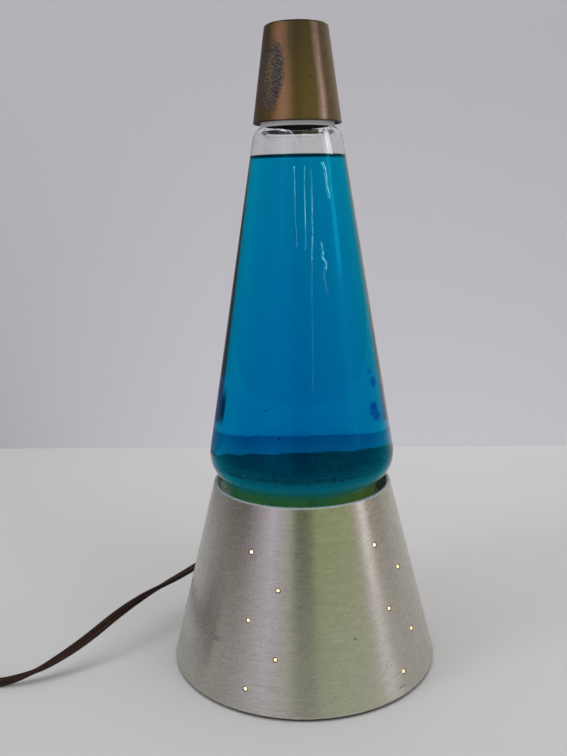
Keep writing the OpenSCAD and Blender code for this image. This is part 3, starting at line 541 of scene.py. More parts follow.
def tinted_liquid(name, tint, depth_colour, density):
    """Clear liquid whose colour deepens with the way that light goes through it, dark at its level."""
    look = clear_glass(name, (0.02, 0.05, 0.06), LIQUID_IOR, 0.0)
    tree = look.node_tree
    line = fitted(tree, bearing_of(tree)[1], (FILL_Z - 2.3) * MM, (FILL_Z - 1.6) * MM)
    through = seen_through(tree, tint, LIQUID_IOR)
    shown(tree, over(tree, line, through, tree.nodes["Principled BSDF"].outputs[0]))
    absorb = add(tree, "ShaderNodeVolumeAbsorption", {"Color": depth_colour, "Density": density})
    tree.links.new(absorb.outputs["Volume"], tree.nodes["Material Output"].inputs["Volume"])
    return look


def wax_look(tree, bsdf, shade, glow, rough):
    """Dull wax with a painted glow: it gives off light of its own in place of the light that goes through it."""
    feed(tree, bsdf, {"Base Color": shade, "Emission Color": shade, "Emission Strength": glow,
                      "Roughness": rough, "Specular IOR Level": 0.1})


def wax_side(name):
    """Side of the wax, with painted bulb light: green over the bulb and dark teal at the top, a painted sheen that
    makes it brighter where it turns away, and browner on the right.
    """
    look, tree, bsdf = shader(name)
    bearing, height = bearing_of(tree)
    blots = noise_of(tree, object_place(tree), 45, 5, 0.6)
    low = maths(tree, "MAXIMUM", 0.0, fitted(tree, bearing, -45, -90, 0, 6.2 * MM))
    level = plus(tree, height, maths(tree, "MULTIPLY_ADD", minus(tree, blots, 0.5), 6 * MM, low))
    # Painted bulb light: green low down over the bulb, fading to dark teal at the top
    shade = ramp(tree, fitted(tree, level, (WAX_Z - 20.3) * MM, (WAX_Z + 0.7) * MM),
                 [(0.0, (0.085, 0.115, 0.034)), (0.26, (0.072, 0.110, 0.045)), (0.46, (0.022, 0.098, 0.084)),
                  (0.66, (0.004, 0.088, 0.118)), (0.84, (0.001, 0.066, 0.096)), (0.93, (0.001, 0.034, 0.056)),
                  (1.0, (0.001, 0.024, 0.046))])
    turned = mixed(tree, fitted(tree, level, (WAX_Z - 12.3) * MM, (WAX_Z - 4.3) * MM),
                   (0.16, 0.25, 0.22), (0.02, 0.20, 0.42))
    # Painted sheen: brighter and bluer where the side turns away
    shade = mixed(tree, fitted(tree, facing_of(tree), 0.55, 0.95, 0, 0.8), shade, turned)
    right = times(tree, fitted(tree, bearing, 15, 60), fitted(tree, level, (WAX_Z - 4.3) * MM, (WAX_Z - 16.3) * MM))
    shade = mixed(tree, times(tree, right, 0.85), shade, (0.28, 0.110, 0.014))
    drips = noise_of(tree, object_place(tree, (1, 1, 0.15)), 190, 3, 0.6)
    shade = mixed(tree, fitted(tree, drips, 0.56, 0.70, 0, 0.45), shade, (0.002, 0.035, 0.045))
    wax_look(tree, bsdf, shade, 0.85, 0.6)
    return look


def wax_top(name):
    """Top of the wax: rough and dark at the front, smoother and paler behind a ragged line, with a painted glow."""
    look, tree, bsdf = shader(name)
    x, y, _ = split_place(tree)
    ragged = noise_of(tree, object_place(tree, (1, 0.6, 1)), 130, 5, 0.7)
    depth = plus(tree, plus(tree, y, times(tree, x, -0.12)), shaken(tree, ragged, 22 * MM))
    speckled_tone = mixed(tree, fitted(tree, noise_of(tree, object_place(tree), 300, 6, 0.75), 0.38, 0.66),
                  (0.002, 0.018, 0.032), (0.012, 0.066, 0.100))
    # Painted glow: the top gives off some light of its own
    wax_look(tree, bsdf, mixed(tree, fitted(tree, depth, 6 * MM, 9 * MM), speckled_tone, (0.02, 0.175, 0.29)), 0.8, 0.7)
    feed(tree, bsdf, {"Normal": bumped(tree, ragged, 0.0006, 0.8)})
    return look


def cap_body(tree, place):
    """Olive brown metal with painted highlights in bands of orange and paler light, painted shade and sheen towards its
    sides, specks, painted shade on its rims, and pits; also returns its turned grain.
    """
    bearing, height = bearing_of(tree)
    cloud = noise_of(tree, object_place(tree, (1, 1, 0.35)), 60, 4, 0.6)
    grain = noise_of(tree, object_place(tree, (60, 60, 1800)), 1.0, 3, 0.6)
    turn = maths(tree, "MULTIPLY_ADD", minus(tree, cloud, 0.5), 12.0, bearing)
    rise = fitted(tree, height, (CAP_Z + 11.4) * MM, (CAP_TOP - 6.1) * MM)
    body = mixed(tree, rise, CAP_LOW, CAP_HIGH)
    # Painted sheen towards the right side and painted shade towards the left
    body = mixed(tree, fitted(tree, turn, 28, 60, 0, 0.85), body, CAP_RIGHT_SHEEN)
    body = mixed(tree, fitted(tree, turn, -35, -65, 0, 0.9), body, CAP_LEFT_SHADE)
    # Painted highlights: bands of light that shift in bearing and width from the top to the open end
    for top, foot, top_half, foot_half, top_strength, foot_strength, colour in CAP_GLINTS:
        off = apart(tree, turn, fitted(tree, rise, 0, 1, foot, top))
        off = maths(tree, "DIVIDE", off, fitted(tree, rise, 0, 1, foot_half, top_half))
        strength = times(tree, fitted(tree, off, 0.15, 1.0, 1, 0),
                         fitted(tree, rise, 0, 1, foot_strength, top_strength))
        body = mixed(tree, strength, body, colour)
    blotch = noise_of(tree, place, 240, 4, 0.7)
    body = mixed(tree, fitted(tree, blotch, 0.35, 0.65, 0.22, 0), body, (0.07, 0.045, 0.02))
    body = mixed(tree, fitted(tree, grain, 0.35, 0.7, 0, 0.22), body, (0.08, 0.055, 0.025))
    # Painted shade: near-black lines along the rolled top edge and the open end
    rim_shade = maths(tree, "MAXIMUM", fitted(tree, height, (CAP_TOP - 1.5) * MM, (CAP_TOP - 0.7) * MM),
                 fitted(tree, height, (CAP_Z + 0.9) * MM, (CAP_Z + 0.5) * MM))
    dark = maths(tree, "MAXIMUM", times(tree, rim_shade, 0.92), spots(tree, PITS))
    return mixed(tree, dark, body, (0.008, 0.006, 0.005)), grain


def cap_patch(tree, place):
    """Upright oval of corrosion on the front left of the cap, with a ragged edge: its mask and its colour."""
    x, y, z = split_place(tree)
    up = minus(tree, z, PATCH_Z * MM)
    across = maths(tree, "MULTIPLY_ADD", up, PATCH_LEAN, minus(tree, x, PATCH_X * MM))
    across = maths(tree, "DIVIDE", across, PATCH_HALF_W * MM)
    up = maths(tree, "DIVIDE", up, PATCH_HALF_H * MM)
    reach = oval_reach(tree, across, up)
    ragged = plus(tree, reach, shaken(tree, noise_of(tree, place, 700, 5, 0.7), 0.9))
    patch = times(tree, fitted(tree, ragged, 0.80, 1.10, 0.95, 0), fitted(tree, y, -8 * MM, -4 * MM, 1, 0))
    speckled_tone = ramp(tree, noise_of(tree, place, 1100, 5, 0.75),
                 [(0.36, (0.004, 0.003, 0.004)), (0.47, (0.034, 0.026, 0.026)), (0.57, (0.095, 0.078, 0.088)),
                  (0.66, (0.30, 0.27, 0.31))])
    core = times(tree, fitted(tree, apart(tree, across, -0.22), 0.10, 0.48, 1.0, 0),
                 fitted(tree, noise_of(tree, place, 700, 5, 0.75), 0.47, 0.56))
    core = times(tree, core, fitted(tree, reach, 0.55, 0.9, 1, 0))
    return patch, mixed(tree, core, speckled_tone, (0.165, 0.125, 0.026))


def aged_bronze_with_painted_glints(name):
    """Bronze coloured cap: olive brown with painted orange highlights, painted shade and sheen, pits and one long patch
    of corrosion.
    """
    look, tree, bsdf = shader(name)
    place = object_place(tree)
    body, grain = cap_body(tree, place)
    patch, speckled_tone = cap_patch(tree, place)
    relief = plus(tree, times(tree, noise_of(tree, place, 1100, 4), patch), times(tree, grain, 0.15))
    feed(tree, bsdf, {
        "Base Color": mixed(tree, patch, body, speckled_tone),
        "Metallic": fitted(tree, patch, 0, 1, 0.45, 0.2),
        "Roughness": fitted(tree, patch, 0, 1, 0.34, 0.75),
        "Normal": bumped(tree, relief, 0.00025, 0.7),
    })
    spun_sheen(tree, bsdf, 0.7)
    return look


def glowing(name, colour, strength):
    """Surface that gives off an even light."""
    look, tree, bsdf = shader(name)
    feed(tree, bsdf, {"Base Color": colour, "Emission Color": colour, "Emission Strength": strength,
                      "Roughness": 0.6})
    return look


# Lead: widths in metres, route points in millimetres with the turn of its width in degrees

LEAD_W, LEAD_T, CORE_R = 0.0054, 0.0027, 0.0013
LEAD_SWELL = 0.25  # how much larger its section is in the free stretch
RELIEF_LEN = 17.0
HOLE_Z, HOLE_R = 28.0, 5.1
LEAN = math.radians(WALL_LEAN)
SLOPE = Vector((math.cos(LEAN), math.sin(LEAN)))
HOLE = Vector((0, shell_radius(HOLE_Z) * MM, HOLE_Z * MM))
HOLE_WAY = Vector((0, math.cos(LEAN), math.sin(LEAN)))
# From the base to the switch
RUN = [
    (0, 110, 33.5, 0), (-1.5, 117, 35, 0), (-6, 124, 36.5, 0), (-13.5, 129.5, 37.5, 0),
    (-22.5, 131, 38, 0), (-31, 129, 38.5, 0), (-38.5, 124, 38.5, 0), (-44.5, 116, 38.5, 0),
    (-51, 107, 38.5, 0), (-59, 96, 38.5, 1), (-67, 85, 38, 2), (-75, 74, 38, 3),
    (-83, 63, 38, 4), (-91, 51.5, 37.5, 6), (-99.5, 40, 37, 13), (-109, 29, 36, 33),
    (-119, 18, 34.5, 61), (-129, 7, 32, 87), (-139, -4, 28.5, 109), (-149, -15, 24, 128),
    (-160, -25, 19, 149), (-172, -33.5, 14, 170), (-184, -40, 9.5, 197), (-196, -44, 6.2, 228),
    (-206, -46.4, 4.2, 256), (-215, -47.6, 3.4, 284), (-223, -48, 3.6, 312), (-230, -48, 5, 338),
]
SWITCH, SWITCH_HALF = Vector((-266, -48, 6.5)) * MM, Vector((30, 0, 0)) * MM
# From the switch to the coil
LINK = [
    (-302, -48, 6.2, 0), (-308, -47.3, 5.2, 15), (-314, -44.8, 4.2, 30), (-319.8, -41, 3.6, 45),
    (-324.4, -36, 3.3, 60), (-327.2, -30, 3.2, 75), (-328, -23.5, 3.2, 90), (-328, -15, 3.2, 90),
    (-328, -6, 3.2, 90),
]
# From the coil to the plug
TAIL = [
    (-328, 22, 8.6, 90), (-328, 31, 7.4, 75), (-328, 40, 6.3, 55), (-328, 49, 5.8, 30), (-328, 58, 6.2, 10),
]
COIL_C, COIL_IN, COIL_STEP, COIL_TURNS = (-292, 8), 25.5, 3.5, 6
COIL_LOW, COIL_HIGH, COIL_RUN_IN = 3.2, 9.05, 5.4
COIL_X = COIL_C[0] - COIL_IN - COIL_STEP * COIL_TURNS / 2
# Inside the base: the flat lead, and one of its two cores on the way to the holder
INNER = [
    (0, 72, 23.6, 0), (0, 64, 20.2, 0), (0, 56, 17, 0), (0, 48, 15.2, 0), (0, 40, 15.6, 0), (0, 34.5, 17.4, 0),
    (0, 30, 20, 0),
]
CORE = [(1.45, 30, 20), (4.5, 26.5, 22), (9, 23.5, 23.8), (13.5, 19.5, 24.8), (17, 14.5, 25.2), (19, 9.5, 25.4),
        (19.4, 4, 25.3)]


def twin_section(width, thick):
    """Outline of the flat twin lead in metres: two round cores side by side with a groove on each face."""
    lobe = thick / 2
    centre = width / 2 - lobe
    points = []
    for side in (1, -1):
        start = -158 if side > 0 else 22
        for i in range(11):
            angle = math.radians(start + 31.6 * i)
            points.append((side * centre + lobe * math.cos(angle), lobe * math.sin(angle)))
    return points


def smooth_route(points, per_span=4):
    """Denser points on one smooth curve through the route, with the turn eased between them."""
    rows = [Vector((*p[:3], p[3] / 10)) if len(p) > 3 else Vector((*p, 0)) for p in points]
    rows = [2 * rows[0] - rows[1]] + rows + [2 * rows[-1] - rows[-2]]
    out = []
    for i in range(1, len(rows) - 2):
        a, b, c, d = rows[i - 1:i + 3]
        for k in range(per_span):
            t = k / per_span
            out.append(0.5 * (2 * b + (c - a) * t + (2 * a - 5 * b + 4 * c - d) * t * t
                              + (3 * b - a - 3 * c + d) * t ** 3))
    out.append(rows[-2])
    return [(Vector(v[:3]) * MM, math.radians(v[3] * 10)) for v in out]


def tube(bm, route, section, first=None, last=None, swell=0.0):
    """Skin swept along a route with bridged rings; the ends are closed, and it can swell between them."""
    rings = []
    for i, (place, turn) in enumerate(route):
        grown = 1 + swell * min(1, 2.2 * math.sin(math.pi * i / (len(route) - 1)))
        way = route[min(i + 1, len(route) - 1)][0] - route[max(i - 1, 0)][0]
        way = (first if i == 0 and first else last if i == len(route) - 1 and last else way).normalized()
        side = Vector((0, 0, 1)).cross(way).normalized()
        up = way.cross(side)
        wide = side * math.cos(turn) + up * math.sin(turn)
        thin = up * math.cos(turn) - side * math.sin(turn)
        ring = [bm.verts.new(place + (wide * x + thin * y) * grown) for x, y in section]
        rings.append([bm.edges.new((ring[k], ring[(k + 1) % len(ring)])) for k in range(len(ring))])
    for low, high in zip(rings, rings[1:]):
        bmesh.ops.bridge_loops(bm, edges=low + high)
    bmesh.ops.contextual_create(bm, geom=rings[0])
    bmesh.ops.contextual_create(bm, geom=rings[-1])


def lead_piece(name, bm, look, node):
    """Stretch of lead as a piece on the base."""
    bmesh.ops.recalc_face_normals(bm, faces=bm.faces)
    mark_edges(bm, 60)
    return piece(name, bm, "base", [look], node)


def coil_route():
    """Route of the put-away coil: in along the lower layer, up over half a turn, out along the upper one."""
    steps = 36
    points = [(Vector((COIL_X, COIL_C[1] - COIL_RUN_IN, COIL_LOW)) * MM, math.pi / 2)]
    for i in range(COIL_TURNS * steps + 1):
        turned = 360 * i / steps
        q = turned - COIL_TURNS * 180
        r = COIL_IN + COIL_STEP * abs(q) / 360
        z = COIL_LOW + (COIL_HIGH - COIL_LOW) * max(0, min(1, (q + 90) / 180))
        a = math.radians(turned)
        points.append((Vector((COIL_C[0] - r * math.cos(a), COIL_C[1] + r * math.sin(a), z)) * MM, math.pi / 2))
    points.append((Vector((COIL_X, COIL_C[1] + COIL_RUN_IN, COIL_HIGH)) * MM, math.pi / 2))
    return points


# Settings

class LampLooks(bpy.types.PropertyGroup):
    """Colours and levels of the lamp's finishes."""
    metal: bpy.props.FloatVectorProperty(
        name="Brushed metal", description="Colour of the base's brushed sheet",
        subtype="COLOR", default=(0.60, 0.585, 0.53), min=0, max=1)
    liquid: bpy.props.FloatVectorProperty(
        name="Liquid", description="Colour that is left after light crosses the liquid",
        subtype="COLOR", default=(0.0, 0.929, 0.978), min=0, max=1)
    tint: bpy.props.FloatVectorProperty(
        name="Liquid's surface", description="Colour that the liquid's surface adds",
        subtype="COLOR", default=(0.3, 0.93, 1.0), min=0, max=1)
    liquid_density: bpy.props.FloatProperty(
        name="Depth of colour", description="How fast the liquid's colour deepens", default=120.0, min=0, max=400)
    glow: bpy.props.FloatVectorProperty(
        name="Bulb light", description="Colour of the bulb's light",
        subtype="COLOR", default=(1.0, 0.80, 0.52), min=0, max=1)
    glow_level: bpy.props.FloatProperty(
        name="Bulb level", description="Strength of the bulb's light", default=2.5, min=0, max=50)
    lead: bpy.props.FloatVectorProperty(
        name="Lead", description="Colour of the lead, its switch and its plug",
        subtype="COLOR", default=(0.026, 0.012, 0.009), min=0, max=1)


class LampStage(bpy.types.PropertyGroup):
    """Camera, lamps and backdrop."""
    focal: bpy.props.FloatProperty(
        name="Focal length", description="Camera's focal length in mm", default=40.48, min=10)
    roll: bpy.props.FloatProperty(
        name="Roll", description="Turn of the camera about its view", subtype="ANGLE", default=math.radians(-1.05))
    distance: bpy.props.FloatProperty(
        name="Distance", description="Camera's distance from the lamp's axis", subtype="DISTANCE", default=0.577)
    height: bpy.props.FloatProperty(
        name="Height", description="Camera's height over the table", subtype="DISTANCE", default=0.3269)
    wall: bpy.props.FloatVectorProperty(
        name="Wall", description="Colour of the wall", subtype="COLOR", default=(0.55, 0.545, 0.575), min=0, max=1)
    table: bpy.props.FloatVectorProperty(
        name="Table", description="Colour of the table", subtype="COLOR", default=(0.62, 0.62, 0.615), min=0, max=1)


# Operators

class LAMP_OT_stage(bpy.types.Operator):
    """Camera, lamps, table and wall"""
    bl_idname = "lamp.stage"
    bl_label = "Stage"

    def execute(self, context):
        settings = context.scene.lamp_stage
        data = bpy.data.cameras.new("camera")
        data.lens = settings.focal
        data.shift_x = CAMERA_SHIFT
        data.clip_start = 0.01
        camera = bpy.data.objects.new("camera", data)
        context.scene.collection.objects.link(camera)
        camera.location = (CAMERA_X, -settings.distance, settings.height)
        aim = Matrix.Rotation(math.radians(90 - CAMERA_PITCH), 4, "X") @ Matrix.Rotation(settings.roll, 4, "Z")
        camera.rotation_euler = aim.to_euler()
        context.scene.camera = camera
        self.sheet("table", self.table_top(settings), (3.0, 2.4), (0, -1.6, 0))
        self.sheet("wall", self.wall_paint(settings), (3.0, 1.3), (0, 0.515, 1.3), ((90, "X"), (-2.65, "Z")))
        self.lamps(context)
        self.room(context)
        return {"FINISHED"}

    def sheet(self, name, look, size, place, turns=()):
        """Flat sheet of the backdrop: half sizes, place, and turns in degrees about its axes."""
        bm = bmesh.new()
        bmesh.ops.create_grid(bm, x_segments=1, y_segments=1, size=1.0)
        bmesh.ops.scale(bm, vec=(*size, 1), verts=bm.verts)
        for degrees, axis in turns:
            bmesh.ops.rotate(bm, matrix=Matrix.Rotation(math.radians(degrees), 3, axis), verts=bm.verts)
        bmesh.ops.translate(bm, vec=place, verts=bm.verts)
        object_of(name, bm, look)

    def painted(self, tree, colour, scale):
        """Even colour with a faint haze of that scale."""
        haze = noise_of(tree, object_place(tree), scale, 3)
        return mixed(tree, fitted(tree, haze, 0.3, 0.7), tinted(colour, 0.97), tuple(colour))

    def table_top(self, settings):
        """Pale table with a few specks, and painted light that makes it lighter towards the wall and darker towards the
        front.
        """
        look, tree, bsdf = shader("table_top")
        specks = noise_of(tree, object_place(tree), 260, 2)
        shade = mixed(tree, fitted(tree, specks, 0.70, 0.76, 0, 0.25), self.painted(tree, settings.table, 3),
                      (0.35, 0.34, 0.33))
        # Painted light: the table grows lighter from the front towards the wall
        painted_light_falloff = ramp(tree, fitted(tree, split_place(tree)["Y"], -0.22, 0.52),
                    [(0.0, (0.88,) * 3), (0.25, (0.925,) * 3), (0.55, (0.985,) * 3), (1.0, (1.12,) * 3)])
        feed(tree, bsdf, {"Base Color": mixed(tree, 1.0, shade, painted_light_falloff, "MULTIPLY"), "Roughness": 0.5})
        return look

    def wall_paint(self, settings):
        """Pale wall, with painted light that makes it lighter low down on the right, clear from behind, and with a
        painted reflection tone that makes it darker where a metal mirrors it, most on the left.
        """
        look, tree, bsdf = shader("wall_paint")
        x, _, z = split_place(tree)
        # Painted light: lighter low down on the right
        rise = times(tree, fitted(tree, z, 0.52, 0.02), fitted(tree, x, -0.40, -0.10, 0.12, 1))
        painted_light_gain = maths(tree, "MULTIPLY_ADD", rise, 0.32, 0.92)
        shade = add(tree, "ShaderNodeVectorMath", {0: self.painted(tree, settings.wall, 2.2), "Scale": painted_light_gain},
                    operation="SCALE").outputs["Vector"]
        # Painted reflection: darker on the left and warmer on the right, only where a metal mirrors the wall
        mirrored = mixed(tree, fitted(tree, x, -0.25, 0.3), (0.27, 0.25, 0.25), (1.0, 0.94, 0.78))
        mirrored = mixed(tree, self.mirror_ray(tree), (1.0, 1.0, 1.0), mirrored)
        feed(tree, bsdf, {"Base Color": mixed(tree, 1.0, shade, mirrored, "MULTIPLY"), "Roughness": 0.8})
        clear = add(tree, "ShaderNodeBsdfTransparent").outputs[0]
        back = add(tree, "ShaderNodeNewGeometry").outputs["Backfacing"]
        shown(tree, over(tree, back, bsdf.outputs[0], clear))
        return look

    def mirror_ray(self, tree):
        """1 for rays that a shiny surface mirrors, 0 for all others, also those that pass through glass."""
        path = add(tree, "ShaderNodeLightPath").outputs
        return times(tree, path["Is Glossy Ray"], minus(tree, 1.0, path["Is Transmission Ray"]))

    def lamps(self, context):
        """Soft lamps over and beside the lamp, which no mirror or glass shows."""
        for name, place, target, size, power, colour in SOFT_LAMPS:
            data = bpy.data.lights.new(name, "AREA")
            data.shape = "RECTANGLE"
            data.size, data.size_y = size
            data.energy = power
            data.color = colour
            light = bpy.data.objects.new(name, data)
            context.scene.collection.objects.link(light)
            light.visible_glossy = light.visible_transmission = False
            light.location = place
            light.rotation_euler = (Vector(target) - Vector(place)).to_track_quat("-Z", "Y").to_euler()

    def room(self, context):
        """Even pale world, and for mirror images a room."""
        world = bpy.data.worlds.new("room")
        context.scene.world = world
        world.use_nodes = True
        tree = world.node_tree
        ground = tree.nodes["Background"]
        feed(tree, ground, {"Color": (0.72, 0.72, 0.735), "Strength": 0.62})
        seen = add(tree, "ShaderNodeBackground", {"Color": (0.60, 0.60, 0.615), "Strength": 1.0})
        room = add(tree, "ShaderNodeBackground", {"Color": self.room_colour(tree), "Strength": 1.0})
        path = add(tree, "ShaderNodeLightPath").outputs
        both = over(tree, path["Is Glossy Ray"], ground.outputs[0], room.outputs[0])
        shown(tree, over(tree, path["Is Camera Ray"], both, seen.outputs[0]), "World Output")

    def room_colour(self, tree):
        """What the shiny metals mirror: bright windows and darker walls round the lamp."""
        bearing, rise = bearing_of(tree)
        room = ROOM
        for centre, half, soft, colour in ROOM_WALLS:
            room = mixed(tree, fitted(tree, apart(tree, bearing, centre), half, half + soft, 1, 0), room, colour)
        for centre, half, low, high, colour in ROOM_WINDOWS:
            wide = fitted(tree, apart(tree, bearing, centre), half * 0.8, half, 1, 0)
            tall = times(tree, fitted(tree, rise, low, low + 0.03), fitted(tree, rise, high - 0.03, high, 1, 0))
            room = mixed(tree, times(tree, wide, tall), room, colour)
        return room


class LAMP_OT_lead(bpy.types.Operator):
    """Flat twin lead from the base to its plug"""
    bl_idname = "lamp.lead"
    bl_label = "Lead"

    def execute(self, context):
        looks = context.scene.lamp_looks
        vinyl = plain_look("brown_vinyl", tuple(looks.lead), 0.34, speckle=0.12, grain=900, bump=0.00002, shine=0.22)
        end = HOLE + HOLE_WAY * RELIEF_LEN * MM
        run = smooth_route([(*(end / MM), 0), *RUN, (*((SWITCH + SWITCH_HALF) / MM), 360)])
        link = smooth_route([(*((SWITCH - SWITCH_HALF) / MM), 0), *LINK,
                             (COIL_X, COIL_C[1] - COIL_RUN_IN, COIL_LOW, 90)])
        tail = smooth_route([(COIL_X, COIL_C[1] + COIL_RUN_IN, COIL_HIGH, 90), *TAIL, (COIL_X, 66, 7, 0)])
        coil = coil_route()
        flat, left, back = twin_section(LEAD_W, LEAD_T), Vector((-1, 0, 0)), Vector((0, 1, 0))
        for name, route, node, first, last, swell in (
                ("lead_run", run, "cord_run", HOLE_WAY, left, LEAD_SWELL),
                ("lead_link", link, "cord_link", left, back, 0),
                ("lead_coil", coil, "cord_coil", back, back, 0),
                ("lead_tail", tail, "cord_tail", back, back, 0)):
            bm = bmesh.new()
            tube(bm, route, flat, first, last, swell)
            lead_piece(name, bm, vinyl, node)
        self.inside(flat, vinyl)
        return {"FINISHED"}

    def inside(self, flat, vinyl):
        """Stretch inside the base, which parts into its two cores on the way to the holder."""
        bm = bmesh.new()
        start = HOLE - HOLE_WAY * 9 * MM
        tube(bm, smooth_route([(*(start / MM), 0), *INNER]), flat, -HOLE_WAY)
        rounded = [(CORE_R * math.cos(math.radians(a)), CORE_R * math.sin(math.radians(a))) for a in range(0, 360, 30)]
        for side in (1, -1):
            core = [(Vector((side * v[0].x, v[0].y, v[0].z)), v[1]) for v in smooth_route(CORE)]
            tube(bm, core, rounded, None, Vector((0, -1, 0)))
        lead_piece("lead_inside", bm, vinyl, "inner_lead")


class LAMP_OT_base(bpy.types.Operator):
    """Pierced brushed base with its seat and underside"""
    bl_idname = "lamp.base"
    bl_label = "Base"

    def execute(self, context):
        looks = context.scene.lamp_looks
        metal = brushed_aluminium("base_metal", tuple(looks.metal))
        # Painted shade: the countersinks round the pinholes are a dark warm brown, for the shade in their hollows
        countersink_shade = plain_look("pinhole_painted_shade", (0.12, 0.06, 0.035), 0.45, 1.0)
        # Painted light: the inside of the sheet and the walls of the pinholes glow as if lit by the bulb, though they
        # are no lamps
        painted_glow = glowing("painted_glow_inside", tuple(looks.glow), looks.glow_level)
        edge = glowing("painted_glow_hole", (1.0, 0.84, 0.60), 1.3)
        dress(self.shell((metal, countersink_shade, painted_glow, edge)), "base", "base_shell")
        # Painted reflection: the seat's metal is tinted blue-green for the bottle and liquid that it mirrors
        spun_metal_painted_reflection = plain_look("spun_metal_painted_reflection", (0.62, 0.72, 0.70), 0.2, 1.0)
        piece("bottle_seat", spun(seat_outline(0) + seat_outline(SEAT_T)[::-1]), "base", [spun_metal_painted_reflection],
              "seat_ring")
        return {"FINISHED"}

    def shell(self, looks):
        """Folded sheet, with its holes cut through and its wall's shading kept true to the cone."""
        shell = object_of("shell", spun(shell_outline(0) + shell_outline(SHEET)[::-1], 180))
        drills = self.drills()
        cut = shell.modifiers.new("holes", "BOOLEAN")
        cut.operation, cut.solver, cut.object = "DIFFERENCE", "EXACT", drills
        bpy.context.view_layer.update()
        whole = bpy.data.meshes.new_from_object(shell.evaluated_get(bpy.context.evaluated_depsgraph_get()))
        shell.modifiers.clear()
        shell.data = whole
        bpy.data.objects.remove(drills)
        for look in looks:
            whole.materials.append(look)
        normals = []
        for face in whole.polygons:
            face.use_smooth = True
            face.material_index, on_cone = self.side_of(face)
            for index in face.loop_indices:
                place = whole.vertices[whole.loops[index].vertex_index].co
                around = Vector((place.x, place.y)).normalized()
                if on_cone:
                    normals.append((around.x * SLOPE.x, around.y * SLOPE.x, SLOPE.y))
                else:
                    normals.append(tuple(whole.corner_normals[index].vector))
        whole.normals_split_custom_set(normals)
        return shell

    def side_of(self, face):
        """Number of a face's look (0 wall, 1 countersink with painted shade, 2 inside with painted glow, 3 hole wall
        with painted glow), and whether it is wall.
        """
        centre, out = face.center, face.normal
        radius = math.hypot(centre.x, centre.y)
        depth = shell_radius(centre.z / MM) * MM - radius
        radial = (centre.x * out.x + centre.y * out.y) / max(radius, 1e-9)
        facing = radial * SLOPE.x + out.z * SLOPE.y
        on_wall = 4 * MM < centre.z < (FOLD[1] - 1) * MM and depth < 0.4 * MM
        if on_wall:
            return (0, True) if facing >= 0.999 else (1, False)
        if facing < -0.9 and centre.z < LIT_TOP * MM:
            return 2, False
        if abs(facing) < 0.5 and LIT_FOOT * MM < centre.z < LIT_TOP * MM and depth < SHEET * MM:
            return 3, False
        return 0, False

    def drills(self):
        """One drill and countersink for each pinhole, and one drill for the lead."""
        bm = bmesh.new()
        for column in range(COLUMNS):
            for row in range(ROWS):
                z = ROW_LOW + ROW_PITCH * row
                side = math.degrees(ZIGZAG / shell_radius(z)) if row % 2 == 0 else 0
                self.drill(bm, FIRST_COLUMN + 360 / COLUMNS * column - side, z, PINHOLE)
        self.drill(bm, 90, HOLE_Z, [(HOLE_R, -5), (HOLE_R, 5)], 48)
        return object_of("drills", bm)

    def drill(self, bm, bearing, z, outline, steps=24):
        """Closed turned shape that stands square out of the wall at a bearing and height."""
        verts = [bm.verts.new((0, 0, outline[0][1] * MM))]
        verts += [bm.verts.new((r * MM, 0, h * MM)) for r, h in outline]
        verts += [bm.verts.new((0, 0, outline[-1][1] * MM))]
        edges = [bm.edges.new((a, b)) for a, b in zip(verts, verts[1:])]
        bmesh.ops.spin(bm, geom=verts + edges, cent=(0, 0, 0), axis=(0, 0, 1), dvec=(0, 0, 0),
                       angle=2 * math.pi, steps=steps, use_merge=True, use_duplicate=False)
        bmesh.ops.remove_doubles(bm, verts=[v for v in bm.verts if not v.tag], dist=1e-7)
        fresh = [v for v in bm.verts if not v.tag]
        place = (Matrix.Rotation(math.radians(bearing), 4, "Z")
                 @ Matrix.Translation((shell_radius(z) * MM, 0, z * MM))
                 @ Matrix.Rotation(math.radians(90 - WALL_LEAN), 4, "Y"))
        bmesh.ops.transform(bm, matrix=place, verts=fresh)
        bmesh.ops.recalc_face_normals(bm, faces=list({f for v in fresh for f in v.link_faces}))
        for v in fresh:
            v.tag = True


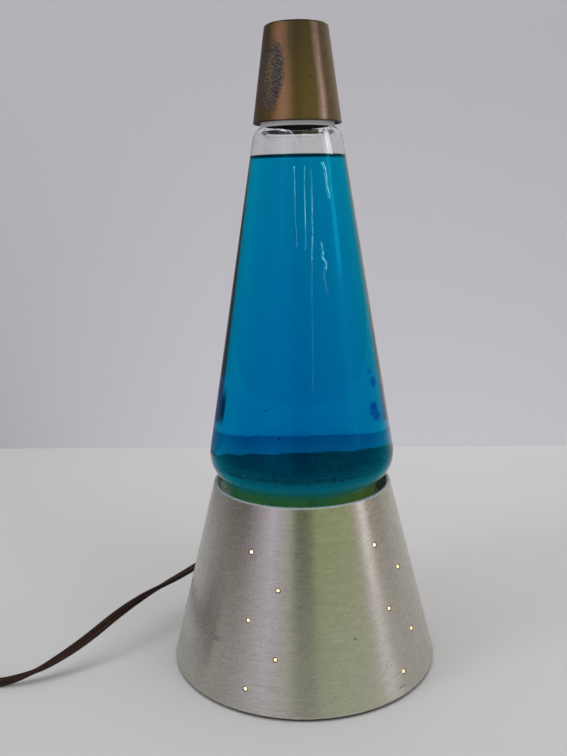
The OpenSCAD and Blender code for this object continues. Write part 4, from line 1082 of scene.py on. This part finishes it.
class LAMP_OT_bottle(bpy.types.Operator):
    """Glass bottle with its liquid, wax, stopper and closure"""
    bl_idname = "lamp.bottle"
    bl_label = "Bottle"

    def execute(self, context):
        looks = context.scene.lamp_looks
        wet = wet_glass("wet_glass", (0.94, 0.915, 0.945), (0.99, 1.0, 0.99))
        # Painted highlights: glints along scratches on the wet glass, and shines of windows and lamps on the dry neck
        streaked(wet, SCRATCH_GLINTS, (0.42, 0.92, 0.98), 0.1)
        dry = dry_glass("dry_glass", (0.98, 0.99, 0.99))
        streaked(dry, SHINES, (0.80, 0.78, 0.86), 0.75)
        bore = [(BORE_R, LIP_Z), (BORE_R, LIP_Z - 4.4)]
        inner = [p for p in bottle_outline(GLASS_T) if p[1] < LIP_Z - 9 or BORE_R < p[0] and p[1] < LIP_Z - 1]
        outline = self.split(bottle_outline(0), FILL_Z) + bore + self.split(inner, FILL_Z)[::-1]
        bm = spun(outline, 192)
        for face in bm.faces:
            face.material_index = int(face.calc_center_median().z > FILL_Z * MM)
        piece("bottle", bm, "bottle", [wet, dry], "glass_bottle")
        liquid = tinted_liquid("blue_liquid", tuple(looks.tint), tuple(looks.liquid), looks.liquid_density)
        wall = bottle_outline(GLASS_T - 0.05)
        side = [p for p in wall if p[1] < FILL_Z]
        edge = self.radius_at(wall, FILL_Z)
        level = side + [(edge + 0.3, FILL_Z - 1.8), (edge + 0.1, FILL_Z - 0.8), (edge, FILL_Z + 0.4),
                        (edge - 0.5, FILL_Z + 0.15), (edge - 1.2, FILL_Z), (0, FILL_Z)]
        piece("liquid_body", spun(level, 192), "bottle", [liquid], "liquid")
        self.wax([wax_side("wax_side"), wax_top("wax_top")])
        rubber = plain_look("black_rubber", (0.010, 0.010, 0.011), 0.9, shine=0.05)
        drop = LIP_Z - STOPPER_DROP / 4
        cup_r, top = CLOSURE_R - 1.8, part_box("closure")[1].z / MM
        cup = [(0, drop), (BORE_R - 1, drop), (BORE_R - 0.2, drop + 1), (BORE_R - 0.2, LIP_Z), (cup_r, LIP_Z),
               (cup_r, top - 2.2), (cup_r - 3, top - 2.2), (cup_r - 3, LIP_Z + 2), (0, LIP_Z + 2)]
        piece("mouth_stopper", spun(cup, 128), "bottle", [rubber], "stopper")
        white = plain_look("white_plastic", (0.66, 0.66, 0.65), 0.42, speckle=0.06)
        inside = CLOSURE_R - CLOSURE_T
        hat = [(inside, LIP_Z), (CLOSURE_R, LIP_Z)] + arc((CLOSURE_R - 0.8, top - 0.8), 0.8, 0, 90, 6)
        hat += [(0, top), (0, top - 2), (inside, top - 2), (inside, LIP_Z)]
        piece("neck_closure", spun(hat, 128), "bottle", [white], "closure")
        return {"FINISHED"}

    def split(self, outline, z):
        """Outline with one more point, where it passes a height."""
        points = []
        for a, b in zip(outline, outline[1:]):
            points.append(a)
            if a[1] < z < b[1]:
                points.append((self.radius_at([a, b], z), z))
        return points + outline[-1:]

    def radius_at(self, outline, z):
        """Radius where an outline passes a height."""
        for (r0, z0), (r1, z1) in zip(outline, outline[1:]):
            if z0 < z <= z1:
                return r0 + (r1 - r0) * (z - z0) / (z1 - z0)
        raise ValueError("the outline doesn't reach that height")

    def wax(self, looks):
        """Cold wax on the bottle's floor, with a rough uneven top."""
        wall = bottle_outline(GLASS_T + 0.35)
        side = [p for p in wall if p[1] < WAX_Z - 2]
        edge = self.radius_at(wall, WAX_Z - 1)
        rings = [(edge, WAX_Z - 1)] + [(r, WAX_Z) for r in (58, 54, 50, 45, 40, 35, 30, 24, 18, 12, 6)] + [(0, WAX_Z)]
        bm = spun(side + rings, 160)
        for vert in bm.verts:
            x, y, z = vert.co / MM
            if z > WAX_Z - 1.5:
                rough = noise.fractal(Vector((x, y, 3.0)) * 0.055, 1.0, 2.0, 5)
                fine = noise.fractal(Vector((x, y, 9.0)) * 0.22, 1.0, 2.0, 4)
                dip = 0.020 * max(0, -43 - x) ** 2 + 0.006 * max(0, x - 36) ** 2
                vert.co.z += (0.9 * rough + 0.6 * fine + 0.006 * x - 0.3 - dip) * MM
                room = self.radius_at(wall, vert.co.z / MM) / math.hypot(x, y) if x or y else 1
                vert.co.x, vert.co.y = vert.co.x * min(1, room), vert.co.y * min(1, room)
        for face in bm.faces:
            face.material_index = int(min(v.co.z for v in face.verts) > (WAX_Z - 2.6) * MM)
        piece("wax_body", bm, "bottle", looks, "wax")


class LAMP_OT_cap(bpy.types.Operator):
    """Bronze coloured top cap"""
    bl_idname = "lamp.cap"
    bl_label = "Cap"

    def execute(self, context):
        outline = cap_outline(0) + cap_outline(CAP_T)[::-1]
        piece("bronze_cap", spun(outline, 160), "top_cap", [aged_bronze_with_painted_glints("aged_bronze_with_painted_glints")], "top_cap")
        return {"FINISHED"}


class LAMP_OT_bulb(bpy.types.Operator):
    """Lit bulb in the base"""
    bl_idname = "lamp.bulb"
    bl_label = "Bulb"

    def execute(self, context):
        looks = context.scene.lamp_looks
        finish("bulb_glass", glowing("frosted_bulb", tuple(looks.glow), looks.glow_level))
        return {"FINISHED"}


class LAMP_OT_fittings(bpy.types.Operator):
    """Finishes on the turned, pressed and moulded parts that keep their solids"""
    bl_idname = "lamp.fittings"
    bl_label = "Fittings"

    def execute(self, context):
        looks = context.scene.lamp_looks
        brown = plain_look("brown_moulding", tuple(looks.lead), 0.42, speckle=0.1, grain=700)
        pale = plain_look("pale_brown_moulding", (0.105, 0.062, 0.044), 0.36, speckle=0.1, grain=700)
        brass = plain_look("brass", (0.62, 0.45, 0.20), 0.28, 1.0)
        steel = plain_look("plated_steel", (0.50, 0.50, 0.48), 0.34, 1.0)
        black = plain_look("black_phenolic", (0.014, 0.013, 0.013), 0.25, coat=0.4)
        finishes = {
            brown: ("strain_relief", "switch_lower", "switch_upper", "plug_body"),
            pale: ("switch_wheel",),
            brass: ("threaded_tube", "lock_nut", "socket_screw_shell", "socket_contact", "terminals", "switch_screws",
                    "plug_blades"),
            steel: ("socket_strap", "bulb_contact", "bulb_filament", "heat_coil", "bulb_screw_shell"),
            black: ("socket_body", "bulb_insulator"),
            plain_look("zinc_plate", (0.55, 0.55, 0.54), 0.5, 0.6): ("bottom_plate",),
            plain_look("black_felt", (0.012, 0.012, 0.012), 0.95, grain=2200, bump=0.0002): ("felt_ring",),
            plain_look("black_tie", (0.018, 0.018, 0.018), 0.5): ("coil_ties",),
            clear_glass("stem_glass", (0.95, 0.97, 0.97)): ("bulb_stem",),
        }
        for look, names in finishes.items():
            for name in names:
                finish(name, look)
        return {"FINISHED"}


class LAMP_PT_panel(bpy.types.Panel):
    """Steps that dress the lamp"""
    bl_idname = "LAMP_PT_panel"
    bl_label = "Liquid motion lamp"
    bl_space_type = "VIEW_3D"
    bl_region_type = "UI"
    bl_category = "Lamp"

    def draw(self, context):
        for step in STEPS:
            self.layout.operator(step.bl_idname)
        for group in (context.scene.lamp_looks, context.scene.lamp_stage):
            box = self.layout.box()
            for name in group.__annotations__:
                box.prop(group, name)


STEPS = (LAMP_OT_stage, LAMP_OT_lead, LAMP_OT_base, LAMP_OT_bottle, LAMP_OT_cap, LAMP_OT_bulb, LAMP_OT_fittings)
CLASSES = (LampLooks, LampStage, *STEPS, LAMP_PT_panel)


def register():
    for cls in CLASSES:
        bpy.utils.register_class(cls)
    bpy.types.Scene.lamp_looks = bpy.props.PointerProperty(type=LampLooks)
    bpy.types.Scene.lamp_stage = bpy.props.PointerProperty(type=LampStage)


def unregister():
    del bpy.types.Scene.lamp_stage
    del bpy.types.Scene.lamp_looks
    for cls in reversed(CLASSES):
        bpy.utils.unregister_class(cls)


def main():
    register()
    bpy.context.scene.view_settings.view_transform = "Standard"
    for step in STEPS:
        area, name = step.bl_idname.split(".")
        getattr(getattr(bpy.ops, area), name)()


if __name__ == "__main__":
    main()
